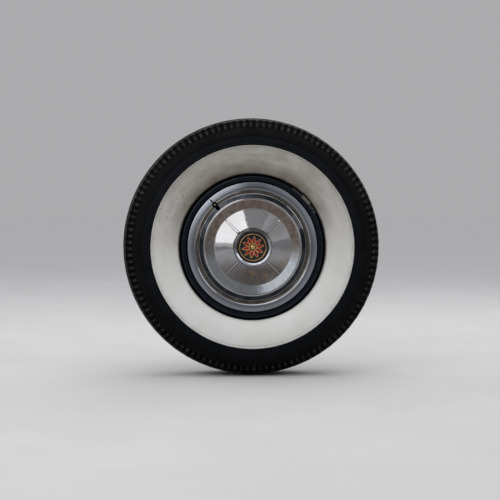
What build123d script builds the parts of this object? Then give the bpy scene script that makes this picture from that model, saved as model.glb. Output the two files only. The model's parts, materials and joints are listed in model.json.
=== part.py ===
"""Left front wheel of a 1950s car, with the hub, brake and steering knuckle that carry it.

Millimetres. X runs towards the rear of the car, -Y is outboard and Z is up. The origin is
the centre of the lower pivot bore in the knuckle support. A profile that is turned about
the axle is drawn as (r, y): r from the axle, y along it from the wheel's centre plane,
negative outboard.
"""
import os
from math import cos, radians, sin, sqrt, tan

from build123d import *

os.makedirs("parts", exist_ok=True)

# Gaps between pieces that sit on each other, and between pieces that turn
seat_gap = 0.3
running_gap = 0.06
turning_gap = 5.0

# Knuckle support and kingpin, in the kingpin's own frame
kingpin_tilt = 5.0
kingpin_r = 11.0
kingpin_offset = 100.0
lower_drop = 112.0
upper_rise = 124.0
lower_inset = 30.0
upper_inset = 14.0
boss_r = 20.0
boss_half = 38.0
upper_ear = 22.0
lower_ear = 15.0
thrust_height = 7.0
thrust_margin = 2.0
ear_r = 24.0
support_bar = 22.0
support_thick = 28.0
pivot_bore_r = 8.0
pivot_bush_r = 12.0
pivot_eye_r = 18.0
pivot_half = 30.0
kingpin_bush_wall = 2.5
lock_pin_r = 4.0
lock_pin_inset = 12.5
lock_pin_shy = 2.0
plug_sheet = 2.0
pin_recess = 5.0
bush_proud = 3.0

# Stack along the axle, from the face that the wheel disc bolts to
mount_face = -12.5
drum_web = 4.5
hub_flange = 9.0
disc_sheet = 4.5
drum_mouth = 52.0
plate_seat = 60.0
plate_sheet = 2.6
knuckle_flange = 12.0
knuckle_flange_r = 52.0

# Spindle, bearings and hub
inner_seat_r = 17.5
inner_race_r = 33.0
inner_from = 20.0
inner_to = 38.0
outer_seat_r = 11.0
outer_race_r = 24.0
outer_from = -52.0
outer_to = -36.0
seal_journal_r = 22.0
seal_bore_r = 36.0
seal_width = 7.0
thread_r = 9.5
spindle_end = -70.0
spindle_root = 4.0
washer_r = 19.0
washer_sheet = 3.0
spindle_nut_r = 18.0
spindle_nut_height = 12.0
hub_inner_r = 42.0
hub_outer_r = 33.0
hub_end = -72.0
hub_flange_r = 78.0
hub_waist_r = 27.0
hub_neck_r = 21.0
hub_root = 6.0
cap_r = 26.0
cap_length = 22.0
cap_sheet = 1.5
cap_seat = 16.0
cap_corner = 8.0
cap_bend_r = 5.0

# Wheel bolts
bolt_circle_r = 63.5
bolt_count = 5
stud_r = 6.35
stud_length = 42.0
stud_gap = 0.02
stud_head = 5.0
stud_head_r = 9.5
nut_r = 10.5
nut_height = 16.0

# Brake
drum_wall = 7.0
drum_room = 18.1
drum_lip = 5.3
drum_lip_width = 8.0
drum_corner = 5.0
plate_margin = 2.0
plate_step = 4.0
plate_flat_margin = 24.0
plate_ramp = 12.0
fitting_margin = 34.0
hose_angle = 114.0
bleed_angle = 102.0
plate_bolt_x = 38.0
plate_bolt_z = 22.0
plate_bolt_r = 5.5

# Rim for 15 inch tyres, 6 inches between its flanges
rim_sheet = 3.2
rim_seat_r = 190.2
rim_half = 76.2
rim_flange = 19.5
rim_lip_half = 92.0
seat_fall = 2.3
well_drop = 19.9
well_from = -44.0
lip_curl = 6.7
well_to = 8.0
seat_from = -50.0
seat_to = 24.0

# Tyre and its inlaid white band
tyre_r = 383.0
tyre_half = 109.0
crown_drop = 10.0
tread_half = 70.0
shoulder_drop = 38.0
shoulder_half = 91.8
bead_half = 85.4
bead_margin = 3.8
widest_lift = 4.7
crown_wall = 16.0
side_wall = 7.0
heel_chamfer = 7.0
toe_inset = 6.0
white_margin = 2.5
white_width = 83.0
white_depth = 2.2

# Wheel disc
disc_margin = 0.05
disc_bolt_r = 80.0
disc_bulge_shift = 4.375
disc_lead = 16.0
vent_inset = 30.75
vent_length = 28.0
vent_width = 11.0

# Wheel cover and what it carries
cover_sheet = 1.2
cover_inset = 15.1
cover_hub_r = 57.0
medallion_r = 45.0
bezel_r = 56.0
valve_angle = 131.7
valve_inset = 24.2
valve_tip_y = -90.0
valve_hole_r = 6.0
slot_in = 20.0
slot_out = 7.0
slot_width = 12.0
slot_depth = 10.0
slit_out = 20.0
slit_width = 3.5
rib_count = 4
rib_angle = 45.0
rib_height = 1.5
rib_wide = 11.2
rib_narrow = 5.2
rib_margin = 1.5
weight_start = 28.5
weight_sweep = 27.0
weight_inset = 6.0
weight_height = 6.0
weight_proud = 2.0
weight_bevel = 2.0
clip_start = 37.0
clip_sweep = 9.0
clip_sheet = 1.2
clip_hook = 3.0
clip_bend_r = 1.5

# Steering arm and brake fittings
arm_eye_x = 135.0
arm_eye_inset = 25.0
arm_eye_z = -44.0
arm_bore_r = 8.0
arm_width = 18.0
arm_height = 16.0
arm_bend_x = 78.0
arm_bend_inset = 6.0
arm_bend_r = 30.0
arm_eye_wall = 8.0
arm_eye_proud = 4.0
arm_root = 11.0
bolt_pad = 8.0
bolt_head = 5.0
bolt_head_r = 9.0
anchor_r = 9.0
anchor_height = 7.0
bleed_r = 6.0
bleed_height = 9.0
bleed_nipple_r = 3.0
bleed_nipple = 8.0
hose_bore_r = 5.0
hose_bore_depth = 10.0
hose_inlet_r = 9.5
hose_inlet_height = 15.0

# Radii that follow from the rim's bead seat
rim_lip_r = rim_seat_r + rim_flange
seat_inner_r = rim_seat_r - seat_fall
well_r = seat_inner_r - well_drop
drum_r = well_r - rim_sheet - drum_wall - drum_room
cover_edge_r = rim_lip_r - cover_inset
valve_r = rim_seat_r - valve_inset

# Kingpin frame: local x points inboard, local y up the pin
tilt = radians(kingpin_tilt)
pin_up = Vector(0, sin(tilt), cos(tilt))
pin_inboard = Vector(0, cos(tilt), -sin(tilt))
pin_centre = pin_up * lower_drop - pin_inboard * lower_inset
wheel_y = pin_centre.Y - kingpin_offset
axle_z = pin_centre.Z
yoke_side = Plane(origin=pin_centre, x_dir=pin_inboard, z_dir=(1, 0, 0))
turning = Plane(origin=(0, wheel_y, axle_z), x_dir=(1, 0, 0), z_dir=(0, 0, 1))
axle = Axis((0, wheel_y, axle_z), (0, 1, 0))


def across_pin(height):
    """A plane square to the kingpin at a height above the axle."""
    return Plane(origin=pin_centre + pin_up * height, x_dir=(1, 0, 0), z_dir=pin_up)


def across_axle(y):
    """A plane square to the axle that faces outboard: local x rearward, local y up."""
    return Plane(origin=(0, wheel_y + y, axle_z), x_dir=(1, 0, 0), z_dir=(0, -1, 0))


def spoke_plane(angle):
    """A plane through the axle at an angle, with local (r, y)."""
    out = Vector(cos(radians(angle)), 0, sin(radians(angle)))
    return Plane(origin=(0, wheel_y, axle_z), x_dir=out, z_dir=out.cross(Vector(0, 1, 0)))


# Knuckle support: an upright bar, an arm to the kingpin boss and two pivot eyes
bar_face = ear_r + 1.5 * turning_gap
lock_axis = Plane(origin=pin_centre + pin_inboard * lock_pin_inset, x_dir=pin_up, z_dir=(1, 0, 0))
bar_back = bar_face + support_bar
boss_arm = boss_half - 2.5 * turning_gap
lower_eye = Plane(origin=(-pivot_half, 0, 0), x_dir=(0, 1, 0), z_dir=(1, 0, 0))
upper_point = pin_centre + pin_up * upper_rise + pin_inboard * upper_inset
upper_eye = Plane(origin=upper_point - Vector(pivot_half, 0, 0), x_dir=(0, 1, 0), z_dir=(1, 0, 0))
eye_planes = [lower_eye, upper_eye]

with BuildPart() as knuckle_support:
    with BuildSketch(yoke_side):
        with BuildLine():
            Polyline(
                (lower_inset, -lower_drop - support_bar / 2),
                (bar_back, -lower_drop + support_bar),
                (bar_back, upper_rise - support_bar),
                (upper_inset, upper_rise + support_bar / 2),
                (upper_inset, upper_rise - support_bar / 2),
                (bar_face, upper_rise - 1.5 * support_bar),
                (bar_face, boss_arm),
                (0, boss_arm),
                (0, -boss_arm),
                (bar_face, -boss_arm),
                (bar_face, -lower_drop + 1.5 * support_bar),
                (lower_inset, -lower_drop + support_bar / 2),
                close=True,
            )
        make_face()
    extrude(amount=support_thick / 2, both=True)
    with BuildSketch(across_pin(-boss_half)):
        Circle(boss_r)
    extrude(amount=2 * boss_half)
    for eye in eye_planes:
        with BuildSketch(eye):
            Circle(pivot_eye_r)
        extrude(amount=2 * pivot_half)
    for eye in eye_planes:
        with BuildSketch(eye):
            Circle(pivot_bush_r)
        extrude(amount=2 * pivot_half, mode=Mode.SUBTRACT)
    with BuildSketch(across_pin(-boss_half)):
        Circle(kingpin_r)
    extrude(amount=2 * boss_half, mode=Mode.SUBTRACT)
    with BuildSketch(lock_axis):
        Circle(lock_pin_r)
    extrude(amount=support_thick, both=True, mode=Mode.SUBTRACT)
knuckle_support.part.label = "knuckle_support"
export_step(knuckle_support.part, "parts/knuckle_support.step")

# Kingpin with a notch for the lock pin that holds it in the boss
pin_low = -boss_half - thrust_height - lower_ear
pin_high = boss_half + seat_gap + upper_ear

with BuildPart() as kingpin:
    with BuildSketch(across_pin(pin_low + pin_recess)):
        Circle(kingpin_r)
    extrude(amount=pin_high - pin_low - 2 * pin_recess)
    with BuildSketch(lock_axis):
        Circle(lock_pin_r)
    extrude(amount=support_thick, both=True, mode=Mode.SUBTRACT)
kingpin.part.label = "kingpin"
export_step(kingpin.part, "parts/kingpin.step")

with BuildPart() as lock_pin:
    with BuildSketch(lock_axis):
        Circle(lock_pin_r)
    extrude(amount=boss_r - lock_pin_shy, both=True)
lock_pin.part.label = "lock_pin"
export_step(lock_pin.part, "parts/lock_pin.step")

# Steel bushings whose bores take the pins of the suspension arms
for bush_name, eye in [("lower_bushing", lower_eye), ("upper_bushing", upper_eye)]:
    with BuildPart() as bushing:
        with BuildSketch(eye.offset(-bush_proud)):
            Circle(pivot_bush_r)
            Circle(pivot_bore_r, mode=Mode.SUBTRACT)
        extrude(amount=2 * (pivot_half + bush_proud))
    bushing.part.label = bush_name
    export_step(bushing.part, f"parts/{bush_name}.step")

# Steering knuckle: a yoke of two ears about the boss, a flange for the brake and the spindle
yoke_outer = kingpin_offset - plate_seat - pin_high * tan(tilt)
yoke_inner = boss_r + turning_gap
knuckle_bush_r = kingpin_r + kingpin_bush_wall

with BuildPart() as steering_knuckle:
    with BuildSketch(yoke_side):
        with BuildLine():
            Polyline(
                (0, pin_high),
                (-yoke_outer, pin_high),
                (-yoke_outer, pin_low),
                (0, pin_low),
                (0, pin_low + lower_ear),
                (-yoke_inner, pin_low + lower_ear),
                (-yoke_inner, boss_half + seat_gap),
                (0, boss_half + seat_gap),
                close=True,
            )
        make_face()
    extrude(amount=ear_r, both=True)
    with BuildSketch(across_pin(pin_low)):
        Circle(ear_r)
    extrude(amount=lower_ear)
    with BuildSketch(across_pin(boss_half + seat_gap)):
        Circle(ear_r)
    extrude(amount=upper_ear)
    with BuildSketch(turning):
        with BuildLine():
            Polyline(
                (0, plate_seat + knuckle_flange),
                (knuckle_flange_r, plate_seat + knuckle_flange),
                (knuckle_flange_r, plate_seat),
                (seal_journal_r + spindle_root, plate_seat),
                (seal_journal_r, plate_seat - spindle_root),
                (seal_journal_r, inner_to),
                (inner_seat_r, inner_to),
                (inner_seat_r, inner_from),
                (outer_seat_r, outer_to),
                (outer_seat_r, outer_from),
                (thread_r, outer_from),
                (thread_r, spindle_end),
                (0, spindle_end),
                close=True,
            )
        make_face()
    revolve(axis=axle)
    with BuildSketch(across_pin(pin_low)):
        Circle(knuckle_bush_r)
    extrude(amount=pin_high - pin_low, mode=Mode.SUBTRACT)
    with BuildSketch(across_axle(plate_seat)):
        with GridLocations(2 * plate_bolt_x, 2 * plate_bolt_z, 2, 2):
            Circle(plate_bolt_r)
    extrude(amount=-knuckle_flange, mode=Mode.SUBTRACT)
steering_knuckle.part.label = "steering_knuckle"
export_step(steering_knuckle.part, "parts/steering_knuckle.step")

# Bronze bushings in both ears, and the plugs that close them
ears = [(pin_low, lower_ear), (boss_half + seat_gap, upper_ear)]

with BuildPart() as kingpin_bushings:
    for ear_foot, ear_height in ears:
        with BuildSketch(across_pin(ear_foot)):
            Circle(knuckle_bush_r)
            Circle(kingpin_r + running_gap, mode=Mode.SUBTRACT)
        extrude(amount=ear_height)
kingpin_bushings.part.label = "kingpin_bushings"
export_step(kingpin_bushings.part, "parts/kingpin_bushings.step")

with BuildPart() as kingpin_plugs:
    for plug_foot in (pin_low, pin_high - plug_sheet):
        with BuildSketch(across_pin(plug_foot)):
            Circle(kingpin_r)
        extrude(amount=plug_sheet)
kingpin_plugs.part.label = "kingpin_plugs"
export_step(kingpin_plugs.part, "parts/kingpin_plugs.step")

with BuildPart() as thrust_bearing:
    with BuildSketch(across_pin(-boss_half - thrust_height)):
        Circle(ear_r - thrust_margin)
        Circle(kingpin_r + running_gap, mode=Mode.SUBTRACT)
    extrude(amount=thrust_height - seat_gap)
thrust_bearing.part.label = "thrust_bearing"
export_step(thrust_bearing.part, "parts/thrust_bearing.step")

# Backing plate: pressed steel, its rim turned towards the drum
drum_lip_r = drum_r + drum_wall + drum_lip
plate_r = drum_lip_r - plate_margin
fitting_ring_r = plate_r - fitting_margin
plate_flat_r = fitting_ring_r - plate_flat_margin
plate_edge = drum_mouth + 1.1 * turning_gap
plate_bend_r = plate_sheet + 1.4

with BuildPart() as backing_plate:
    with BuildSketch(turning):
        with BuildLine():
            FilletPolyline(
                (seal_journal_r + spindle_root + seat_gap, plate_seat),
                (plate_flat_r, plate_seat),
                (plate_flat_r + plate_ramp, plate_seat + plate_step),
                (plate_r, plate_seat + plate_step),
                (plate_r, plate_edge),
                radius=plate_bend_r,
            )
            offset(amount=plate_sheet, side=Side.RIGHT)
        make_face()
    revolve(axis=axle)
    with BuildSketch(across_axle(plate_seat)):
        with GridLocations(2 * plate_bolt_x, 2 * plate_bolt_z, 2, 2):
            Circle(plate_bolt_r)
    extrude(amount=plate_sheet, mode=Mode.SUBTRACT)
backing_plate.part.label = "backing_plate"
export_step(backing_plate.part, "parts/backing_plate.step")

# Steering arm on the flange's two rear bolts, out to the track rod's eye
arm_seat = plate_seat + knuckle_flange
arm_eye_y = kingpin_offset + arm_eye_inset
root_half = plate_bolt_r + bolt_pad
arm_foot = arm_eye_z - arm_height / 2
root_height = plate_bolt_z + root_half - arm_foot
arm_base = Plane.XY.offset(axle_z + arm_foot)
arm_path = [
    (plate_bolt_x, wheel_y + arm_seat + arm_width / 2),
    (arm_bend_x, wheel_y + arm_seat + arm_width / 2 + arm_bend_inset),
    (arm_eye_x, wheel_y + arm_eye_y),
]

with BuildPart() as steering_arm:
    with BuildSketch(arm_base):
        with BuildLine():
            FilletPolyline(*arm_path, radius=arm_bend_r)
        trace(line_width=arm_width)
    extrude(amount=arm_height)
    with BuildSketch(arm_base.offset(-arm_eye_proud)):
        with Locations((arm_eye_x, wheel_y + arm_eye_y)):
            Circle(arm_bore_r + arm_eye_wall)
    extrude(amount=arm_height + 2 * arm_eye_proud)
    with BuildSketch(across_axle(arm_seat)):
        with Locations((plate_bolt_x, arm_foot + root_height / 2)):
            Rectangle(2 * root_half, root_height)
    extrude(amount=-arm_root)
    with BuildSketch(arm_base.offset(-arm_eye_proud)):
        with Locations((arm_eye_x, wheel_y + arm_eye_y)):
            Circle(arm_bore_r)
    extrude(amount=arm_height + 2 * arm_eye_proud, mode=Mode.SUBTRACT)
    with BuildSketch(across_axle(arm_seat)):
        with Locations((plate_bolt_x, plate_bolt_z), (plate_bolt_x, -plate_bolt_z)):
            Circle(plate_bolt_r)
    extrude(amount=-arm_root, mode=Mode.SUBTRACT)
steering_arm.part.label = "steering_arm"
export_step(steering_arm.part, "parts/steering_arm.step")

# Four bolts through plate and flange, the rear pair through the steering arm too
grips = [
    (-plate_bolt_x, arm_seat),
    (plate_bolt_x, arm_seat + arm_root),
]

with BuildPart() as plate_bolts:
    for bolt_x, grip_end in grips:
        for bolt_z in (-plate_bolt_z, plate_bolt_z):
            with BuildSketch(across_axle(grip_end + seat_gap)):
                with Locations((bolt_x, bolt_z)):
                    Circle(plate_bolt_r - running_gap)
            extrude(amount=grip_end + seat_gap - plate_seat + plate_sheet + seat_gap)
            with BuildSketch(across_axle(grip_end + seat_gap)):
                with Locations((bolt_x, bolt_z)):
                    RegularPolygon(bolt_head_r, 6)
            extrude(amount=-bolt_head)
            with BuildSketch(across_axle(plate_seat - plate_sheet - seat_gap)):
                with Locations((bolt_x, bolt_z)):
                    RegularPolygon(bolt_head_r, 6)
            extrude(amount=bolt_head)
plate_bolts.part.label = "plate_bolts"
export_step(plate_bolts.part, "parts/plate_bolts.step")

# Anchor pin of the shoes, bleed screw and hose inlet on the back of the plate
plate_back = plate_seat + plate_step
with BuildPart() as anchor_pin:
    with BuildSketch(across_axle(plate_back + seat_gap)):
        with PolarLocations(fitting_ring_r, 1, start_angle=90):
            RegularPolygon(anchor_r, 6)
    extrude(amount=-anchor_height)
anchor_pin.part.label = "anchor_pin"
export_step(anchor_pin.part, "parts/anchor_pin.step")

with BuildPart() as bleed_screw:
    with BuildSketch(across_axle(plate_back + seat_gap)):
        with PolarLocations(fitting_ring_r, 1, start_angle=bleed_angle):
            RegularPolygon(bleed_r, 6)
    extrude(amount=-bleed_height)
    with BuildSketch(across_axle(plate_back + seat_gap + bleed_height)):
        with PolarLocations(fitting_ring_r, 1, start_angle=bleed_angle):
            Circle(bleed_nipple_r)
    extrude(amount=-bleed_nipple)
bleed_screw.part.label = "bleed_screw"
export_step(bleed_screw.part, "parts/bleed_screw.step")

hose_bore_foot = plate_back + seat_gap + hose_inlet_height - hose_bore_depth

with BuildPart() as hose_inlet:
    with BuildSketch(across_axle(plate_back + seat_gap)):
        with PolarLocations(fitting_ring_r, 1, start_angle=hose_angle):
            RegularPolygon(hose_inlet_r, 6)
    extrude(amount=-hose_inlet_height)
    with BuildSketch(across_axle(hose_bore_foot)):
        with PolarLocations(fitting_ring_r, 1, start_angle=hose_angle):
            Circle(hose_bore_r)
    extrude(amount=-hose_bore_depth, mode=Mode.SUBTRACT)
hose_inlet.part.label = "hose_inlet"
export_step(hose_inlet.part, "parts/hose_inlet.step")

# Wheel bearings: on the spindle's seats, free in the hub by the running gap
bearings = [
    ("inner_bearing", inner_seat_r, inner_race_r, inner_from, inner_to),
    ("outer_bearing", outer_seat_r, outer_race_r, outer_from, outer_to),
]

for bearing_name, bore_r, race_r, bearing_from, bearing_to in bearings:
    with BuildPart() as bearing:
        with BuildSketch(turning):
            with Locations(((bore_r + race_r - running_gap) / 2, (bearing_from + bearing_to) / 2)):
                Rectangle(race_r - running_gap - bore_r, bearing_to - bearing_from)
        revolve(axis=axle)
    bearing.part.label = bearing_name
    export_step(bearing.part, f"parts/{bearing_name}.step")

with BuildPart() as spindle_nut:
    with BuildSketch(across_axle(outer_from)):
        Circle(washer_r)
        Circle(thread_r, mode=Mode.SUBTRACT)
    extrude(amount=washer_sheet)
    with BuildSketch(across_axle(outer_from - washer_sheet)):
        RegularPolygon(spindle_nut_r, 6)
        Circle(thread_r, mode=Mode.SUBTRACT)
    extrude(amount=spindle_nut_height)
spindle_nut.part.label = "spindle_nut"
export_step(spindle_nut.part, "parts/spindle_nut.step")

# Hub: bored for both bearings, with the flange that carries drum and wheel
flange_out = mount_face + drum_web
flange_in = flange_out + hub_flange
hub_mouth = inner_to + seal_width

with BuildPart() as hub:
    with BuildSketch(turning):
        with BuildLine():
            Polyline(
                (cap_r, hub_end),
                (hub_outer_r, hub_end),
                (hub_outer_r, flange_out),
                (hub_flange_r, flange_out),
                (hub_flange_r, flange_in),
                (hub_inner_r + hub_root, flange_in),
                (hub_inner_r, flange_in + hub_root),
                (hub_inner_r, hub_mouth),
                (seal_bore_r, hub_mouth),
                (seal_bore_r, inner_to),
                (inner_race_r, inner_to),
                (inner_race_r, inner_from - seat_gap),
                (hub_waist_r, inner_from - seat_gap),
                (hub_neck_r, inner_from - 3 * hub_root),
                (hub_neck_r, outer_to + seat_gap),
                (outer_race_r, outer_to + seat_gap),
                (outer_race_r, hub_end + cap_seat),
                (cap_r, hub_end + cap_seat),
                close=True,
            )
        make_face()
    revolve(axis=axle)
    with BuildSketch(across_axle(flange_in)):
        with PolarLocations(bolt_circle_r, bolt_count, start_angle=90):
            Circle(stud_r)
    extrude(amount=hub_flange, mode=Mode.SUBTRACT)
hub.part.label = "hub"
export_step(hub.part, "parts/hub.step")

with BuildPart() as grease_seal:
    with BuildSketch(turning):
        with Locations(((seal_journal_r + seal_bore_r) / 2 + running_gap / 2, inner_to + seal_width / 2)):
            Rectangle(seal_bore_r - seal_journal_r - running_gap, seal_width - 2 * seat_gap)
    revolve(axis=axle)
grease_seal.part.label = "grease_seal"
export_step(grease_seal.part, "parts/grease_seal.step")

with BuildPart() as grease_cap:
    with BuildSketch(turning):
        with BuildLine():
            FilletPolyline(
                (cap_r, hub_end + cap_seat - cap_corner),
                (cap_r, hub_end - cap_length + cap_corner / 2),
                (cap_r - cap_corner, hub_end - cap_length),
                (0, hub_end - cap_length),
                radius=cap_bend_r,
            )
            offset(amount=cap_sheet, side=Side.RIGHT)
        make_face()
    revolve(axis=axle)
grease_cap.part.label = "grease_cap"
export_step(grease_cap.part, "parts/grease_cap.step")

# Brake drum, held between hub flange and wheel disc
with BuildPart() as brake_drum:
    with BuildSketch(turning):
        with BuildLine():
            Polyline(
                (hub_outer_r + seat_gap, mount_face),
                (drum_r + drum_wall - drum_corner, mount_face),
                (drum_r + drum_wall, mount_face + drum_corner),
                (drum_r + drum_wall, drum_mouth - 1.25 * drum_lip_width),
                (drum_lip_r, drum_mouth - drum_lip_width),
                (drum_lip_r, drum_mouth),
                (drum_r, drum_mouth),
                (drum_r, flange_out + drum_corner),
                (drum_r - drum_corner, flange_out),
                (hub_outer_r + seat_gap, flange_out),
                close=True,
            )
        make_face()
    revolve(axis=axle)
    with BuildSketch(across_axle(flange_out)):
        with PolarLocations(bolt_circle_r, bolt_count, start_angle=90):
            Circle(stud_r + seat_gap)
    extrude(amount=drum_web, mode=Mode.SUBTRACT)
brake_drum.part.label = "brake_drum"
export_step(brake_drum.part, "parts/brake_drum.step")

# Valve's own line, from the slope of the rim's well to the slot in the cover
valve_foot = ((well_r + seat_inner_r) / 2, (well_from + seat_from) / 2)
valve_out = Vector(valve_r - valve_foot[0], valve_tip_y - valve_foot[1]).normalized()
valve_length = sqrt((valve_r - valve_foot[0]) ** 2 + (valve_tip_y - valve_foot[1]) ** 2)
spoke = spoke_plane(valve_angle)
valve_origin = spoke.from_local_coords(Vector(*valve_foot))
valve_axis = spoke.from_local_coords(Vector(*valve_foot) + valve_out) - valve_origin
valve_plane = Plane(origin=valve_origin, x_dir=spoke.z_dir, z_dir=valve_axis)


def seat_at(y):
    """Radius of the outboard bead seat's tyre side at y."""
    return seat_inner_r + (rim_seat_r - seat_inner_r) * (seat_from - y) / (seat_from + rim_half)


# Rim: its tyre side runs from the outboard lip over the drop centre to the inboard lip
lip_end_r = rim_lip_r - lip_curl
lip_bends = [6, 7.5]
well_bends = [5.4, 5, 6, 6, 5, 5, 5.4]

with BuildPart() as rim:
    with BuildSketch(turning):
        with BuildLine():
            FilletPolyline(
                (lip_end_r, -rim_lip_half),
                (rim_lip_r, -rim_lip_half),
                (rim_lip_r, -rim_half),
                (rim_seat_r, -rim_half),
                (seat_inner_r, seat_from),
                (well_r, well_from),
                (well_r, well_to),
                (seat_inner_r, seat_to),
                (seat_inner_r, -seat_from),
                (rim_seat_r, rim_half),
                (rim_lip_r, rim_half),
                (rim_lip_r, rim_lip_half),
                (lip_end_r, rim_lip_half),
                radius=lip_bends + well_bends + lip_bends[::-1],
            )
            offset(amount=rim_sheet, side=Side.LEFT)
        make_face()
    revolve(axis=axle)
    with BuildSketch(valve_plane):
        Circle(valve_hole_r)
    extrude(amount=2 * rim_sheet, both=True, mode=Mode.SUBTRACT)
rim.part.label = "rim"
export_step(rim.part, "parts/rim.step")

# Wheel disc: its flange fits inside the rim's drop centre
disc_flange_r = well_r - rim_sheet - disc_margin
disc_face = mount_face - disc_sheet
disc_bulge_r = (disc_flange_r + disc_bolt_r) / 2 - disc_bulge_shift
disc_bends = [6, 10, 14, 10, 6]

with BuildPart() as wheel_disc:
    with BuildSketch(turning):
        with BuildLine():
            FilletPolyline(
                (disc_flange_r, mount_face - 2),
                (disc_flange_r, well_from + 4),
                (disc_flange_r - disc_lead, well_from - 2),
                (disc_bulge_r, well_from - 4),
                (disc_bolt_r + 10, disc_face - 6),
                (disc_bolt_r, disc_face),
                (hub_outer_r + seat_gap, disc_face),
                radius=disc_bends,
            )
            offset(amount=disc_sheet, side=Side.RIGHT)
        make_face()
    revolve(axis=axle)
    with BuildSketch(across_axle(0)):
        with PolarLocations(bolt_circle_r, bolt_count, start_angle=90):
            Circle(stud_r + seat_gap)
        with PolarLocations(disc_flange_r - vent_inset, 2 * bolt_count, start_angle=90):
            SlotOverall(vent_length, vent_width, rotation=90)
    extrude(amount=-2 * well_from, mode=Mode.SUBTRACT)
wheel_disc.part.label = "wheel_disc"
export_step(wheel_disc.part, "parts/wheel_disc.step")

# Studs pressed into the hub flange, and the nuts on them
with BuildPart() as wheel_studs:
    with BuildSketch(across_axle(flange_in + seat_gap)):
        with PolarLocations(bolt_circle_r, bolt_count, start_angle=90):
            Circle(stud_r - stud_gap)
    extrude(amount=stud_length)
    with BuildSketch(across_axle(flange_in + seat_gap)):
        with PolarLocations(bolt_circle_r, bolt_count, start_angle=90):
            Circle(stud_head_r)
    extrude(amount=-stud_head)
wheel_studs.part.label = "wheel_studs"
export_step(wheel_studs.part, "parts/wheel_studs.step")

with BuildPart() as wheel_nuts:
    with BuildSketch(across_axle(disc_face - seat_gap)):
        with PolarLocations(bolt_circle_r, bolt_count, start_angle=90):
            RegularPolygon(nut_r, 6)
            Circle(stud_r, mode=Mode.SUBTRACT)
    extrude(amount=nut_height)
wheel_nuts.part.label = "wheel_nuts"
export_step(wheel_nuts.part, "parts/wheel_nuts.step")

# Tyre, hollow, with a recess for the white band in its outboard side
bead_r = rim_lip_r + bead_margin
tread_edge_r = tyre_r - crown_drop
shoulder_r = tyre_r - shoulder_drop
widest_r = (bead_r + shoulder_r) / 2 + widest_lift
white_inner_r = bead_r + white_margin
white_outer_r = white_inner_r + white_width


def arc_r(rise, drop):
    """Radius of an arc that starts square and has dropped off so far after that rise."""
    return (rise**2 + drop**2) / (2 * drop)


crown_arc_r = arc_r(tread_half, crown_drop)
lower_arc_r = arc_r(widest_r - bead_r, tyre_half - bead_half)
upper_arc_r = arc_r(shoulder_r - widest_r, tyre_half - shoulder_half)


def crown_at(y):
    """A point of the tread's arc."""
    return (tyre_r - crown_arc_r + sqrt(crown_arc_r**2 - y**2), y)


def side_at(r, inset=0.0):
    """A point of the outboard sidewall, or of a line parallel to it further in."""
    side_arc_r = upper_arc_r if r > widest_r else lower_arc_r
    reach = sqrt((side_arc_r - inset) ** 2 - (r - widest_r) ** 2)
    return (r, side_arc_r - tyre_half - reach)


def draw_side(low_r, high_r, inset=0.0):
    """Arcs along the outboard sidewall between two radii."""
    stops = [low_r, widest_r, high_r] if low_r < widest_r < high_r else [low_r, high_r]
    for foot, head in zip(stops, stops[1:]):
        ThreePointArc(side_at(foot, inset), side_at((foot + head) / 2, inset), side_at(head, inset))


def draw_white_band(face_inset):
    """Outline from the band's floor to a line parallel to the sidewall."""
    draw_side(white_inner_r, white_outer_r, white_depth)
    draw_side(white_inner_r, white_outer_r, face_inset)
    for edge_r in (white_inner_r, white_outer_r):
        Line(side_at(edge_r, white_depth), side_at(edge_r, face_inset))


flange_y = -rim_half + seat_gap
heel_y = -rim_half + heel_chamfer
toe_y = seat_from - toe_inset
lining_r = tyre_r - crown_wall

with BuildPart() as tyre:
    with BuildSketch(turning):
        with BuildLine():
            ThreePointArc(crown_at(0), crown_at(-tread_half / 2), crown_at(-tread_half))
            TangentArc(
                side_at(shoulder_r),
                crown_at(-tread_half),
                tangent=(upper_arc_r - tyre_half - side_at(shoulder_r)[1], shoulder_r - widest_r),
            )
            draw_side(bead_r, shoulder_r)
            Polyline(
                side_at(bead_r),
                (bead_r - 1.3 * bead_margin, flange_y),
                (rim_seat_r + heel_chamfer, flange_y),
                (seat_at(heel_y) + seat_gap, heel_y),
                (seat_at(toe_y) + seat_gap, toe_y),
                (seat_inner_r + 2 * toe_inset, toe_y - 2),
                side_at(bead_r + 2 * side_wall, 1.5 * side_wall),
                side_at(widest_r, side_wall),
                side_at(shoulder_r - side_wall, 1.2 * side_wall),
                (lining_r - crown_drop, -tread_half + crown_drop),
                (lining_r, -tread_half / 3),
                (lining_r, 0),
            )
            mirror(about=Plane.XZ)
        make_face()
    revolve(axis=axle)
    with BuildSketch(turning):
        with BuildLine():
            draw_white_band(-white_depth)
        make_face()
    revolve(axis=axle, mode=Mode.SUBTRACT)
tyre.part.label = "tyre"
export_step(tyre.part, "parts/tyre.step")

with BuildPart() as whitewall:
    with BuildSketch(turning):
        with BuildLine():
            draw_white_band(0)
        make_face()
    revolve(axis=axle)
whitewall.part.label = "whitewall"
export_step(whitewall.part, "parts/whitewall.step")

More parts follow.
